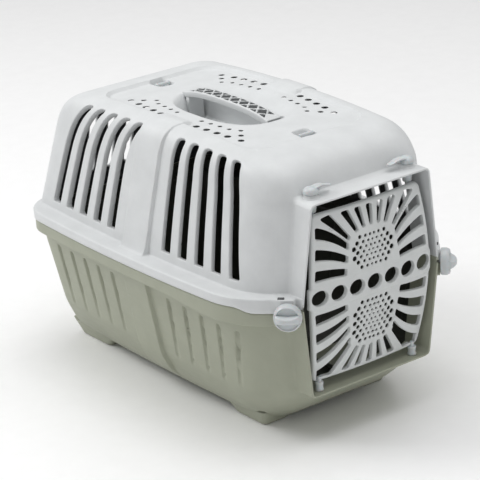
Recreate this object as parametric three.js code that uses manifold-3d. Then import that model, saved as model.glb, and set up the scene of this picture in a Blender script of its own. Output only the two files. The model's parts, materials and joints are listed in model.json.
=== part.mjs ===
// Pet transport carrier: a tub, a lift-off upper shell, a domed grille door on corner pins,
// sprung door latches, quarter-turn corner knobs and a snap-in carrying handle.
// Millimetres, +Z up, door towards +X, origin under the middle of the carrier.
import * as THREE from "three";
import { mergeVertices } from "three/addons/utils/BufferGeometryUtils.js";
import Module from "manifold-3d";

const wasm = await Module();
wasm.setup();

// ---- Driving dimensions ------------------------------------------------------------------
const LENGTH = 480;
const RIM_HALF = 157.5;
const RIM_REAR = -LENGTH / 2;
const RIM_FRONT = 224;
const RIM_Z = 170;
const SIDE_BOW = 7.5;
const BOW_SPAN = 197;
const SIDE_MIDDLE = -15;
const WALL = 3;
const GAP = 0.3;
const RIGHT_ANGLE = Math.PI / 2;

// Upper shell
const SKIRT_TOP_Z = 181;
const STEP_TOP_Z = 189;
const SHELL_FOOT = { rear: -233, front: 216.5, half: 134.5, rearRadius: 18, frontRadius: 84 };
const SHOULDER_Z = 283;
const SHOULDER = { rear: -212, front: 206, half: 117, rearRadius: 18, frontRadius: 64 };
const TOP_Z = 321;
const TOP_EDGE = { rear: -154.5, front: 142.6, half: 85, rearRadius: 27, frontRadius: 27 };
const CROWN = 4.5;
const PANEL_STEP = 2.5;
const NEST = { height: 6, outer: 3.5, inner: 5 };

// Tub
const BAND_Z = 155;
const TUB_SHOULDER = { rear: -234, front: 215, half: 139, rearRadius: 18, frontRadius: 80 };
const TUB_LOW_Z = 56;
const TUB_LOW = { rear: -220, front: 213, half: 122, rearRadius: 18, frontRadius: 74 };
const TUB_CURVE_Z = 24;
const TUB_CURVE = { rear: -222, front: 177, half: 106, rearRadius: 18, frontRadius: 52 };
const BELLY_Z = 7;
const BELLY = { rear: -220, front: 150, half: 88, rearRadius: 18, frontRadius: 34 };
const FOOT = { length: 52, width: 40, inset: 1.5, radius: 14 };

// Collar around the doorway, its outline in the Y-Z plane
const COLLAR = {
  lip: 230.5, root: 186, top: 285, bottom: 59, halfTop: 83, halfMiddle: 97.5, halfBottom: 85,
};
const COLLAR_LEAN = 0.042;
const COLLAR_WALL = 3;
const COLLAR_RADIUS = 7;

// Door
const DOOR = {
  top: 268, bottom: 73, middle: 170.5, halfEnd: 75, halfMiddle: 84, crest: 235.5, thickness: 8,
};
const DOOR_LEAN = 0.052;
const DOME_ACROSS = 1300;
const DOME_UP = 830;
const BAND = {
  z: 176, half: 14, width: 86, proud: 0.6, ovals: 7, pitch: 24.3, ovalWidth: 20, ovalHeight: 17.5,
};
const DOOR_BORDER = 7;

// Corner pins, latches and knobs
const PIN = { x: 215.6, y: 67, radius: 2.5, bore: 2.9, tip: 5.5, post: 4.6 };
const LATCH = {
  boss: 7.5, bossHeight: 4, domeRadius: 8.5, domeHeight: 8, armLength: 27, armWidth: 8, armThick: 2.4,
};
const GUIDE = { outer: 5.6, inner: 4.5, floor: 1.6 };
const SPRING = { radius: 3.5, wire: 0.6, turns: 4 };
const KNOB = {
  x: 220, y: 108, z: 163.5, radius: 16, base: 0.8, face: 14.5, grip: 19.5, gripWidth: 7, shaft: 4.5,
};
const KNOB_PAD = { halfWidth: 13, depth: 15, recess: 12 };
const CATCH = { outer: 9.8, thickness: 3.5, reach: 10, width: 8 };

// Handle, its well and the strap pockets
const WELL = { x: -6, halfLength: 79, halfWidth: 45, floor: 290, squareness: 0.8 };
const GRIP = { rear: -80, front: 68, width: 21, top: 330, thickness: 9, leg: 5, legWidth: 34 };
const TRUSS = { cells: 9, depth: 2.5, rib: 1.6 };
const STRAP = { rear: -139, front: 128, length: 26, width: 20, depth: 11, wall: 2, barRadius: 2.6 };

// Ventilation
const SLOT = {
  count: 5, pitch: 29.6, first: 46, width: 15, bottom: 194, top: 311, topScale: 0.82, lean: 8,
};
const REAR_SLOT = { count: 5, pitch: 27, width: 11, bottom: 205, top: 306 };
const TOP_HOLES = { first: 42, pitch: 17.5, outerY: 75, skew: 6, radius: 3.6, small: 2.8 };

// ---- Solids ------------------------------------------------------------------------------

// A closed three.js geometry as a solid that can be joined and cut.
function solid(geometry) {
  const bare = geometry.index ? geometry.toNonIndexed() : geometry.clone();
  bare.deleteAttribute("normal");
  bare.deleteAttribute("uv");
  const merged = mergeVertices(bare, 1e-4);
  return new wasm.Manifold(new wasm.Mesh({
    numProp: 3,
    vertProperties: new Float32Array(merged.attributes.position.array),
    triVerts: new Uint32Array(merged.index.array),
  }));
}

function geometryOf(manifold) {
  const { vertProperties, triVerts } = manifold.getMesh();
  const geometry = new THREE.BufferGeometry();
  geometry.setAttribute("position", new THREE.BufferAttribute(new Float32Array(vertProperties), 3));
  geometry.setIndex(new THREE.BufferAttribute(new Uint32Array(triVerts), 1));
  geometry.computeVertexNormals();
  return geometry;
}

function joined(solids) {
  return solids.reduce((total, next) => total.add(next));
}

function cut(body, tools) {
  return tools.reduce((left, tool) => left.subtract(tool), body);
}

function box(low, high) {
  const [lx, ly, lz] = low;
  const [hx, hy, hz] = high;
  const geometry = new THREE.BoxGeometry(hx - lx, hy - ly, hz - lz);
  geometry.translate((lx + hx) / 2, (ly + hy) / 2, (lz + hz) / 2);
  return solid(geometry);
}

// A vertical cylinder, or a cone where the radii differ.
function post(x, y, lowZ, highZ, radius, sides = 16, topRadius = radius) {
  const geometry = new THREE.CylinderGeometry(topRadius, radius, highZ - lowZ, sides);
  geometry.rotateX(RIGHT_ANGLE);
  geometry.translate(x, y, (lowZ + highZ) / 2);
  return solid(geometry);
}

// An outline in X-Y pushed up from lowZ to highZ.
function raised(points, lowZ, highZ) {
  const geometry = new THREE.ExtrudeGeometry(new THREE.Shape(points), {
    depth: highZ - lowZ, bevelEnabled: false, steps: 1,
  });
  geometry.translate(0, 0, lowZ);
  return solid(geometry);
}

// An outline whose points are (y, z), pushed along X from lowX to highX.
function alongX(points, lowX, highX, afterwards = new THREE.Matrix4()) {
  const geometry = new THREE.ExtrudeGeometry(new THREE.Shape(points), {
    depth: highX - lowX, bevelEnabled: false, steps: 1,
  });
  geometry.applyMatrix4(new THREE.Matrix4().set(0, 0, 1, lowX, 1, 0, 0, 0, 0, 1, 0, 0, 0, 0, 0, 1));
  return solid(geometry.applyMatrix4(afterwards));
}

// An outline whose points are (x, z), pushed along Y from lowY to highY.
function alongY(points, lowY, highY) {
  const geometry = new THREE.ExtrudeGeometry(new THREE.Shape(points), {
    depth: highY - lowY, bevelEnabled: false, steps: 1,
  });
  geometry.applyMatrix4(new THREE.Matrix4().set(1, 0, 0, 0, 0, 0, -1, highY, 0, 1, 0, 0, 0, 0, 0, 1));
  return solid(geometry);
}

function anticlockwise(points) {
  return THREE.ShapeUtils.isClockWise(points) ? [...points].reverse() : points;
}

function mirrored(body) {
  return body.mirror([0, 1, 0]);
}

// A lathe-turned solid about a vertical axis; the profile's points are (radius, height).
function turned(profile, x, y, sides = 16) {
  const geometry = new THREE.LatheGeometry(profile.map(([r, h]) => new THREE.Vector2(r, h)), sides);
  geometry.rotateX(RIGHT_ANGLE);
  geometry.translate(x, y, 0);
  return solid(geometry);
}

// ---- Outlines and lofts ------------------------------------------------------------------

// Half of a body outline, on the +Y side, from the front face to the rear face: a wide round
// front corner, a bowed side and a round rear corner.
function halfOutline({ rear, front, half, rearRadius, frontRadius }) {
  const points = [];
  const arc = (cx, radius, from, steps) => {
    for (let i = 0; i <= steps; i += 1) {
      const angle = from + (RIGHT_ANGLE * i) / steps;
      points.push([cx + radius * Math.cos(angle), half - radius + radius * Math.sin(angle)]);
    }
  };
  const sideFrom = front - frontRadius;
  const sideTo = rear + rearRadius;
  arc(sideFrom, frontRadius, 0, 7);
  const sideSteps = 8;
  for (let i = 1; i < sideSteps; i += 1) {
    points.push([sideFrom + ((sideTo - sideFrom) * i) / sideSteps, half]);
  }
  arc(sideTo, rearRadius, RIGHT_ANGLE, 5);
  return points.map(([x, y]) => {
    const bow = (SIDE_BOW / RIM_HALF) * ((x - SIDE_MIDDLE) / BOW_SPAN) ** 2;
    return [x, y * (1 - bow)];
  });
}

function inset(section, distance) {
  return {
    rear: section.rear + distance,
    front: section.front - distance,
    half: section.half - distance,
    rearRadius: section.rearRadius - distance,
    frontRadius: section.frontRadius - distance,
  };
}

function blend(a, b, t) {
  const mixed = {};
  for (const key of Object.keys(a)) {
    mixed[key] = a[key] + (b[key] - a[key]) * t;
  }
  return mixed;
}

// Height added by the crown of the top, which fades out at the shoulder.
function crowned(x, z) {
  const share = THREE.MathUtils.clamp((z - SHOULDER_Z) / (TOP_Z - SHOULDER_Z), 0, 1);
  const middle = (TOP_EDGE.front + TOP_EDGE.rear) / 2;
  const reach = (TOP_EDGE.front - TOP_EDGE.rear) / 2;
  return z + CROWN * share * Math.max(0, 1 - ((x - middle) / reach) ** 2);
}

// A closed solid through a stack of body outlines, each { z, section }.
function loft(levels) {
  const rings = levels.map(({ z, section }) => {
    const half = halfOutline(section);
    const other = half.map(([x, y]) => [x, -y]).reverse();
    return [...half, ...other].map(([x, y]) => [x, y, crowned(x, z)]);
  });
  const count = rings[0].length;
  const index = [];
  for (let ring = 0; ring < rings.length - 1; ring += 1) {
    for (let i = 0; i < count; i += 1) {
      const a = ring * count + i;
      const b = ring * count + ((i + 1) % count);
      index.push(a, b, b + count, a, b + count, a + count);
    }
  }
  const last = (rings.length - 1) * count;
  for (let i = 0; i < count / 2 - 1; i += 1) {
    const across = count - 1 - i;
    index.push(i, across, across - 1, i, across - 1, i + 1);
    index.push(last + i, last + across - 1, last + across, last + i, last + i + 1, last + across - 1);
  }
  const geometry = new THREE.BufferGeometry();
  geometry.setAttribute("position", new THREE.Float32BufferAttribute(rings.flat(2), 3));
  geometry.setIndex(index);
  return solid(geometry);
}

// ---- Body sections -----------------------------------------------------------------------

const RIM = { rear: RIM_REAR, front: RIM_FRONT, half: RIM_HALF, rearRadius: 43, frontRadius: 84 };

// Sections of the upper shell from its skirt to the edge of its top, shrunk by a wall distance.
function shellLevels(distance) {
  const lowZ = distance > 0 ? RIM_Z - 5 : RIM_Z + GAP / 2;
  const levels = [
    { z: lowZ, section: RIM },
    { z: SKIRT_TOP_Z - distance * 0.3, section: RIM },
    { z: SKIRT_TOP_Z + 1 - distance * 0.3, section: inset(RIM, 3) },
    { z: STEP_TOP_Z - distance, section: inset(RIM, 4) },
    { z: STEP_TOP_Z + 1 - distance, section: SHELL_FOOT },
    { z: SHOULDER_Z, section: SHOULDER },
  ];
  const roundSteps = 5;
  for (let i = 1; i <= roundSteps; i += 1) {
    const angle = (RIGHT_ANGLE * i) / roundSteps;
    const section = blend(TOP_EDGE, SHOULDER, Math.cos(angle));
    const rise = TOP_Z - SHOULDER_Z - (distance > 0 ? distance + PANEL_STEP : 0);
    levels.push({ z: SHOULDER_Z + rise * Math.sin(angle), section });
  }
  return levels.map(({ z, section }) => ({ z, section: distance ? inset(section, distance) : section }));
}

// Sections of the tub from its belly to its rim.
function tubLevels(distance) {
  const levels = [
    { z: BELLY_Z + distance, section: BELLY },
    { z: TUB_CURVE_Z + distance / 2, section: TUB_CURVE },
    { z: TUB_LOW_Z + distance / 2, section: TUB_LOW },
    { z: BAND_Z - 1 + distance, section: TUB_SHOULDER },
    { z: BAND_Z + distance, section: inset(RIM, 1.5) },
    { z: distance > 0 ? RIM_Z + 5 : RIM_Z - GAP / 2, section: inset(RIM, 1.5) },
  ];
  return levels.map(({ z, section }) => ({ z, section: distance ? inset(section, distance) : section }));
}

const shellCavity = loft(shellLevels(WALL));
const tubCavity = loft(tubLevels(WALL));

// ---- Collar ------------------------------------------------------------------------------

// The hexagonal outline of the doorway, shrunk by a distance, with rounded corners.
function collarOutline(distance) {
  const corners = [
    [COLLAR.halfMiddle - distance, RIM_Z],
    [COLLAR.halfTop - distance, COLLAR.top - distance],
    [-COLLAR.halfTop + distance, COLLAR.top - distance],
    [-COLLAR.halfMiddle + distance, RIM_Z],
    [-COLLAR.halfBottom + distance, COLLAR.bottom + distance],
    [COLLAR.halfBottom - distance, COLLAR.bottom + distance],
  ].map(([y, z]) => new THREE.Vector2(y, z));
  const radius = COLLAR_RADIUS - distance;
  const points = [];
  corners.forEach((corner, i) => {
    const before = corners[(i + corners.length - 1) % corners.length];
    const after = corners[(i + 1) % corners.length];
    if (Math.abs(corner.y - RIM_Z) < 1) {
      points.push(corner);
      return;
    }
    const start = before.clone().sub(corner).setLength(radius).add(corner);
    const end = after.clone().sub(corner).setLength(radius).add(corner);
    points.push(...new THREE.QuadraticBezierCurve(start, corner, end).getPoints(3));
  });
  return points;
}

// A hexagonal prism whose ends lean forward with height.
function collarPrism(distance, lowX, highX) {
  const shear = new THREE.Matrix4().makeTranslation(-COLLAR_LEAN * RIM_Z, 0, 0);
  shear.elements[8] = COLLAR_LEAN;
  return alongX(collarOutline(distance), lowX, highX, shear);
}

const doorway = collarPrism(COLLAR_WALL, COLLAR.root - 40, COLLAR.lip + 20);
const collarBlank = collarPrism(0, COLLAR.root, COLLAR.lip);
const aboveRim = box([-300, -200, RIM_Z + GAP / 2], [300, 200, 400]);
const belowRim = box([-300, -200, -20], [300, 200, RIM_Z - GAP / 2]);

// ---- Upper shell -------------------------------------------------------------------------

// A tapered upright slot outline in X-Z; its top leans in towards the middle of the side.
function slotOutline(centre) {
  const topCentre = SIDE_MIDDLE + SLOT.lean + (centre - SIDE_MIDDLE) * SLOT.topScale;
  const half = SLOT.width / 2;
  const topHalf = half * SLOT.topScale;
  const points = [[centre - half, SLOT.bottom], [centre + half, SLOT.bottom]];
  const steps = 4;
  for (let i = 0; i <= steps; i += 1) {
    const angle = (Math.PI * i) / steps;
    points.push([topCentre + topHalf * Math.cos(angle), SLOT.top + topHalf * Math.sin(angle)]);
  }
  return points.map(([x, z]) => new THREE.Vector2(x, z));
}

function slotCentres() {
  const centres = [];
  for (let i = 0; i < SLOT.count; i += 1) {
    const away = SLOT.first + SLOT.width / 2 + SLOT.pitch * i;
    centres.push(SIDE_MIDDLE - away, SIDE_MIDDLE + away);
  }
  return centres;
}

function sideSlots() {
  return slotCentres().flatMap((centre) => {
    const tool = alongY(slotOutline(centre), SHOULDER.half - 34, RIM_HALF);
    return [tool, mirrored(tool)];
  });
}

function rearSlots() {
  const tools = [];
  for (let i = 0; i < REAR_SLOT.count; i += 1) {
    const y = (i - (REAR_SLOT.count - 1) / 2) * REAR_SLOT.pitch;
    const half = REAR_SLOT.width / 2;
    tools.push(box([RIM_REAR, y - half, REAR_SLOT.bottom], [-165, y + half, REAR_SLOT.top]));
  }
  return tools;
}

// Four mirrored groups of round holes: an outer row, an inner row of smaller ones and a
// slanting end column.
function topHoles() {
  const tools = [];
  const middle = (TOP_EDGE.front + TOP_EDGE.rear) / 2;
  const lowZ = TOP_Z - 14;
  const hole = (x, y, radius) => tools.push(post(x, y, lowZ, TOP_Z + 12, radius, 8));
  for (const end of [-1, 1]) {
    for (const side of [-1, 1]) {
      for (let i = 0; i < 5; i += 1) {
        const y = TOP_HOLES.outerY - (TOP_HOLES.skew * i) / 4;
        hole(middle + end * (TOP_HOLES.first + TOP_HOLES.pitch * i), side * y, TOP_HOLES.radius);
      }
      for (let i = 0; i < 4; i += 1) {
        const x = middle + end * (TOP_HOLES.first - 8 + TOP_HOLES.pitch * i);
        hole(x, side * (TOP_HOLES.outerY - 12 - i), TOP_HOLES.small);
      }
      for (let i = 1; i <= 2; i += 1) {
        const x = middle + end * (TOP_HOLES.first + TOP_HOLES.pitch * 4 - 10 * i);
        hole(x, side * (TOP_HOLES.outerY - TOP_HOLES.skew - 9 * i), TOP_HOLES.small);
      }
    }
  }
  return tools;
}

function wellOutline(distance) {
  const points = [];
  const steps = 28;
  for (let i = 0; i < steps; i += 1) {
    const angle = (2 * Math.PI * i) / steps;
    const reach = Math.sign(Math.cos(angle)) * Math.abs(Math.cos(angle)) ** WELL.squareness;
    const across = Math.sign(Math.sin(angle)) * Math.abs(Math.sin(angle)) ** WELL.squareness;
    const x = WELL.x + (WELL.halfLength + distance) * reach;
    points.push(new THREE.Vector2(x, (WELL.halfWidth + distance) * across));
  }
  return points;
}

// The sunk panel of the top, which stops at the side pillar on each side.
function topPanelCut() {
  const section = inset(TOP_EDGE, 3);
  return loft([{ z: TOP_Z - PANEL_STEP, section }, { z: TOP_Z + 10, section }]);
}

function pocketOuter(x) {
  const reach = STRAP.length / 2 + STRAP.wall;
  const across = STRAP.width / 2 + STRAP.wall;
  return box([x - reach, -across, TOP_Z - STRAP.depth - STRAP.wall], [x + reach, across, TOP_Z - 1]);
}

function pocketInner(x) {
  const { length, width, depth } = STRAP;
  return box([x - length / 2, -width / 2, TOP_Z - depth], [x + length / 2, width / 2, TOP_Z + 10]);
}

function legSlots() {
  return [GRIP.rear + 12, GRIP.front - 12].map((x) => box(
    [x - GRIP.leg / 2 - 0.5, -GRIP.legWidth / 2 - 0.5, WELL.floor - 10],
    [x + GRIP.leg / 2 + 0.5, GRIP.legWidth / 2 + 0.5, WELL.floor + 10],
  ));
}

function upperShell() {
  const outside = loft(shellLevels(0));
  const collar = collarBlank.intersect(aboveRim);
  const pads = joined(knobPads()).intersect(aboveRim);
  let body = cut(joined([outside, collar, pads]), [shellCavity, ...catchRecesses()]);
  const pan = raised(wellOutline(WALL), WELL.floor - WALL, TOP_Z);
  body = joined([body, pan, pocketOuter(STRAP.rear), pocketOuter(STRAP.front)]);
  for (const side of [-1, 1]) {
    body = body.add(post(PIN.x, side * PIN.y, COLLAR.top - 2, COLLAR.top + LATCH.bossHeight, LATCH.boss));
  }
  const wellCut = raised(wellOutline(0), WELL.floor, TOP_Z + 20);
  const pinHoles = [-1, 1].map((side) => (
    post(PIN.x, side * PIN.y, COLLAR.top - 10, COLLAR.top + 10, PIN.bore)
  ));
  body = cut(body, [
    doorway, wellCut, pocketInner(STRAP.rear), pocketInner(STRAP.front), topPanelCut(),
    ...pinHoles, ...legSlots(), ...sideSlots(), ...rearSlots(), ...topHoles(),
  ]);
  return body;
}

// ---- Tub ---------------------------------------------------------------------------------

// One corner foot of the tub; endX and side say which corner it fills.
function foot(endX, direction, side) {
  const { length, width, inset: margin, radius } = FOOT;
  const outer = endX - direction * margin;
  const inner = outer - direction * length;
  const y = BELLY.half * 0.96 - margin;
  const shape = new THREE.Shape();
  const lowX = Math.min(outer, inner);
  const highX = Math.max(outer, inner);
  shape.moveTo(lowX + radius, y - width);
  shape.lineTo(highX - radius, y - width);
  shape.quadraticCurveTo(highX, y - width, highX, y - width + radius);
  shape.lineTo(highX, y - radius);
  shape.quadraticCurveTo(highX, y, highX - radius, y);
  shape.lineTo(lowX + radius, y);
  shape.quadraticCurveTo(lowX, y, lowX, y - radius);
  shape.lineTo(lowX, y - width + radius);
  shape.quadraticCurveTo(lowX, y - width, lowX + radius, y - width);
  const pad = raised(shape.getPoints(3), 0, BELLY_Z + 1);
  return side > 0 ? pad : mirrored(pad);
}

function feet() {
  return [[BELLY.rear, -1], [BELLY.front, 1]].flatMap(([endX, direction]) => (
    [-1, 1].map((side) => foot(endX, direction, side))
  ));
}

// A knob's own frame: +Z out of its corner, +X upwards.
function knobFrame(side) {
  const outward = new THREE.Vector3(Math.SQRT1_2, side * Math.SQRT1_2, 0);
  const up = new THREE.Vector3(0, 0, 1);
  const across = new THREE.Vector3().crossVectors(outward, up);
  return new THREE.Matrix4().makeBasis(up, across, outward).setPosition(KNOB.x, side * KNOB.y, KNOB.z);
}

// Places a solid made about the knob's own axis (+Z outward, from its seat) at one corner.
function atKnob(geometry, side) {
  return solid(geometry.applyMatrix4(knobFrame(side)));
}

function shaftGeometry(radius, low, high) {
  const geometry = new THREE.CylinderGeometry(radius, radius, high - low, 20);
  geometry.rotateX(RIGHT_ANGLE);
  geometry.translate(0, 0, (low + high) / 2);
  return geometry;
}

// Flat pad on the rim under each knob, crossing the parting line.
function knobPads() {
  const { halfWidth, depth } = KNOB_PAD;
  return [-1, 1].map((side) => {
    const pad = new THREE.BoxGeometry(SKIRT_TOP_Z - BAND_Z, 2 * halfWidth, depth);
    pad.translate((SKIRT_TOP_Z + BAND_Z) / 2 - KNOB.z, 0, -depth / 2);
    return atKnob(pad, side);
  });
}

// Clears the space behind each pad where the catch turns.
function catchRecesses() {
  const near = -CATCH.outer + GAP;
  return [-1, 1].map((side) => atKnob(shaftGeometry(KNOB_PAD.recess, near - 6, near), side));
}

// Thin rib standing on the tub's rim, just inside the shell's skirt.
function nestingRib() {
  const level = (distance, z) => ({ z, section: inset(RIM, distance) });
  const { height, outer, inner } = NEST;
  const block = loft([level(outer, RIM_Z - height), level(outer, RIM_Z + height)]);
  return block.subtract(loft([level(inner, RIM_Z - height - 1), level(inner, RIM_Z + height + 1)]));
}

function lowerTub() {
  const outside = loft(tubLevels(0));
  const collar = collarBlank.intersect(belowRim);
  const pads = joined(knobPads()).intersect(belowRim);
  let body = joined([outside, collar, pads]).subtract(tubCavity);
  body = cut(body.add(nestingRib()), catchRecesses());
  body = joined([body, ...feet()]);
  for (const side of [-1, 1]) {
    const low = COLLAR.bottom - 5;
    body = body.add(post(PIN.x, side * PIN.y, low, COLLAR.bottom + 2, LATCH.boss, 16, LATCH.boss + 2));
  }
  const pinSeats = [-1, 1].map((side) => (
    post(PIN.x, side * PIN.y, COLLAR.bottom - 2, COLLAR.bottom + 10, PIN.radius + GAP)
  ));
  const shaftHoles = [-1, 1].map((side) => atKnob(shaftGeometry(KNOB.shaft + GAP, -20, 20), side));
  return cut(body, [doorway, ...pinSeats, ...shaftHoles]);
}

// ---- Door --------------------------------------------------------------------------------

// Depth of the domed front face.
function doorFace(y, z) {
  const up = z - DOOR.middle;
  return DOOR.crest - (y * y) / DOME_ACROSS - (up * up) / DOME_UP + DOOR_LEAN * up;
}

function doorHalfWidth(z) {
  const end = z > BAND.z ? DOOR.top : DOOR.bottom;
  const share = Math.abs(z - BAND.z) / Math.abs(end - BAND.z);
  return DOOR.halfMiddle + (DOOR.halfEnd - DOOR.halfMiddle) * share ** 1.6;
}

// A domed slab between two heights; widthAt gives half its width at a height.
function domedSlab(lowZ, highZ, rows, widthAt, proud) {
  const columns = 8;
  const front = [];
  const back = [];
  for (let row = 0; row <= rows; row += 1) {
    const z = lowZ + ((highZ - lowZ) * row) / rows;
    for (let column = 0; column <= columns; column += 1) {
      const y = widthAt(z) * (-1 + (2 * column) / columns);
      front.push([doorFace(y, z) + proud, y, z]);
      back.push([doorFace(y, z) - DOOR.thickness, y, z]);
    }
  }
  const width = columns + 1;
  const offset = front.length;
  const index = [];
  const quad = (a, b, c, d) => index.push(a, b, c, a, c, d);
  for (let row = 0; row < rows; row += 1) {
    for (let column = 0; column < columns; column += 1) {
      const a = row * width + column;
      quad(a, a + 1, a + 1 + width, a + width);
      quad(offset + a, offset + a + width, offset + a + 1 + width, offset + a + 1);
    }
    const left = row * width;
    const right = left + columns;
    quad(left, left + width, offset + left + width, offset + left);
    quad(right, offset + right, offset + right + width, right + width);
  }
  for (let column = 0; column < columns; column += 1) {
    const top = rows * width + column;
    quad(column, offset + column, offset + column + 1, column + 1);
    quad(top, top + 1, offset + top + 1, offset + top);
  }
  const geometry = new THREE.BufferGeometry();
  geometry.setAttribute("position", new THREE.Float32BufferAttribute([...front, ...back].flat(), 3));
  geometry.setIndex(index);
  return solid(geometry);
}

// Radial slots of one half of the grille. direction is +1 above the band and -1 below it.
function grilleSlots(direction, reach, sideCount) {
  const tools = [];
  const slotThrough = (corners, side) => {
    const points = corners.map(([y, away]) => new THREE.Vector2(side * y, BAND.z + direction * away));
    tools.push(alongX(anticlockwise(points), DOOR.crest - 60, DOOR.crest + 20));
  };
  const quadSlot = (outer, inner) => {
    for (const side of [-1, 1]) {
      slotThrough([outer[0], outer[1], inner[1], inner[0]], side);
    }
  };
  for (let i = 0; i < sideCount; i += 1) {
    const outerAway = BAND.half + 14 + 23.6 * i;
    const innerAway = BAND.half + 9 + 13 * i;
    const outerY = doorHalfWidth(BAND.z + direction * outerAway) - DOOR_BORDER;
    const innerY = 41 - 3 * i;
    quadSlot(
      [[outerY, outerAway - 5.4], [outerY - 1, outerAway + 5.4]],
      [[innerY, innerAway - 3.2], [innerY - 0.5, innerAway + 3.2]],
    );
  }
  const edge = reach - DOOR_BORDER;
  const innerEdge = edge - 22;
  quadSlot([[54, edge], [67, edge]], [[27, innerEdge - 4], [30.5, innerEdge - 8]]);
  quadSlot([[32, edge], [43, edge]], [[17.5, innerEdge - 1], [22, innerEdge - 3]]);
  quadSlot([[14, edge], [23.5, edge]], [[8.5, innerEdge], [13, innerEdge - 1]]);
  slotThrough([[-4.5, edge], [4.5, edge], [2.2, innerEdge], [-2.2, innerEdge]], 1);
  return tools;
}

function bandOvals() {
  const tools = [];
  for (let i = 0; i < BAND.ovals; i += 1) {
    const y = (i - (BAND.ovals - 1) / 2) * BAND.pitch;
    const ellipse = new THREE.EllipseCurve(y, BAND.z, BAND.ovalWidth / 2, BAND.ovalHeight / 2);
    tools.push(alongX(ellipse.getPoints(12).slice(0, 12), DOOR.crest - 60, DOOR.crest + 20));
  }
  return tools;
}

// Corner sockets: each is open towards the cabin, so its pin can leave as the door swings.
function pinSockets() {
  return [-1, 1].flatMap((side) => {
    const y = side * PIN.y;
    const depth = PIN.tip + 1;
    const spans = [[DOOR.top - depth, DOOR.top + 5], [DOOR.bottom - 5, DOOR.bottom + depth]];
    return spans.flatMap(([low, high]) => [
      post(PIN.x, y, low, high, PIN.bore + 0.1),
      box([PIN.x - 20, y - PIN.bore - 0.1, low], [PIN.x, y + PIN.bore + 0.1, high]),
    ]);
  });
}

function doorPanel() {
  const panel = domedSlab(DOOR.bottom, DOOR.top, 10, doorHalfWidth, 0);
  const bandWidth = () => BAND.width;
  const band = domedSlab(BAND.z - BAND.half, BAND.z + BAND.half, 2, bandWidth, BAND.proud);
  const upperReach = DOOR.top - BAND.z;
  const lowerReach = BAND.z - DOOR.bottom;
  return cut(panel.add(band), [
    ...grilleSlots(1, upperReach, 3), ...grilleSlots(-1, lowerReach, 4),
    ...bandOvals(), ...pinSockets(),
  ]);
}

// ---- Corner pins and latches -------------------------------------------------------------

// Snap-in post in the tub's lip that carries a lower corner of the door.
function hingePin(side) {
  const base = COLLAR.bottom + COLLAR_WALL + GAP;
  const y = side * PIN.y;
  const stem = post(PIN.x, y, COLLAR.bottom - 2 + GAP, base + 1, PIN.radius);
  const body = post(PIN.x, y, base, DOOR.bottom - GAP, PIN.post);
  const tip = post(PIN.x, y, DOOR.bottom - 1, DOOR.bottom + PIN.tip, PIN.radius);
  return joined([stem, body, tip]);
}

const GUIDE_TOP = COLLAR.top - COLLAR_WALL - GAP;
const GUIDE_LOW = DOOR.top + GAP;

// Bush under the upper lip, which guides the latch pin and holds its spring.
function latchGuide(side) {
  const y = side * PIN.y;
  const tube = post(PIN.x, y, GUIDE_LOW, GUIDE_TOP, GUIDE.outer);
  const bore = post(PIN.x, y, GUIDE_LOW + GUIDE.floor, GUIDE_TOP + 5, GUIDE.inner);
  const pinHole = post(PIN.x, y, GUIDE_LOW - 5, GUIDE_TOP, PIN.bore);
  return cut(tube, [bore, pinHole]);
}

function latchPin(side) {
  const y = side * PIN.y;
  const rod = post(PIN.x, y, DOOR.top - PIN.tip, COLLAR.top + LATCH.bossHeight + 3, PIN.radius);
  const shoulderLow = GUIDE_LOW + GUIDE.floor + GAP;
  return rod.add(post(PIN.x, y, shoulderLow, shoulderLow + 1.4, GUIDE.inner - GAP));
}

// Compression spring between the pin's shoulder and the underside of the lip.
function latchSpring(side) {
  const low = GUIDE_LOW + GUIDE.floor + 1.4 + 2 * GAP + SPRING.wire / 2;
  const high = GUIDE_TOP - SPRING.wire;
  class Coil extends THREE.Curve {
    getPoint(t) {
      const angle = 2 * Math.PI * SPRING.turns * t;
      const x = PIN.x + SPRING.radius * Math.cos(angle);
      const y = side * PIN.y + SPRING.radius * Math.sin(angle);
      return new THREE.Vector3(x, y, low + (high - low) * t);
    }
  }
  const wire = new THREE.EllipseCurve(0, 0, SPRING.wire / 2, SPRING.wire / 2);
  const section = new THREE.Shape(wire.getPoints(5).slice(0, 5));
  const geometry = new THREE.ExtrudeGeometry(section, {
    steps: 40, extrudePath: new Coil(), bevelEnabled: false,
  });
  return solid(geometry);
}

// Domed cap on the boss with a finger arm that curves down towards the middle of the lip.
function latchLever(side) {
  const base = COLLAR.top + LATCH.bossHeight + GAP;
  const profile = [[0, base], [LATCH.domeRadius, base], [LATCH.domeRadius, base + 2]];
  const steps = 5;
  for (let i = 1; i <= steps; i += 1) {
    const angle = (RIGHT_ANGLE * i) / steps;
    const radius = i === steps ? 0 : LATCH.domeRadius * Math.cos(angle);
    profile.push([radius, base + 2 + (LATCH.domeHeight - 2) * Math.sin(angle)]);
  }
  const dome = turned(profile, PIN.x, PIN.y);
  const top = base + LATCH.domeHeight - 1;
  const inner = PIN.y - LATCH.armLength;
  const spine = new THREE.QuadraticBezierCurve(
    new THREE.Vector2(PIN.y, top),
    new THREE.Vector2(inner + 12, top + 1),
    new THREE.Vector2(inner, top - 4.5),
  ).getPoints(6);
  const under = spine.map((point) => new THREE.Vector2(point.x, point.y - LATCH.armThick)).reverse();
  const half = LATCH.armWidth / 2;
  const arm = alongX([...spine, ...under].reverse(), PIN.x - half, PIN.x + half);
  const bore = post(PIN.x, PIN.y, base - 1, COLLAR.top + LATCH.bossHeight + 3 + GAP, PIN.radius + GAP);
  const lever = dome.add(arm).subtract(bore);
  return side > 0 ? lever : mirrored(lever);
}

// ---- Knobs -------------------------------------------------------------------------------

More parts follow.
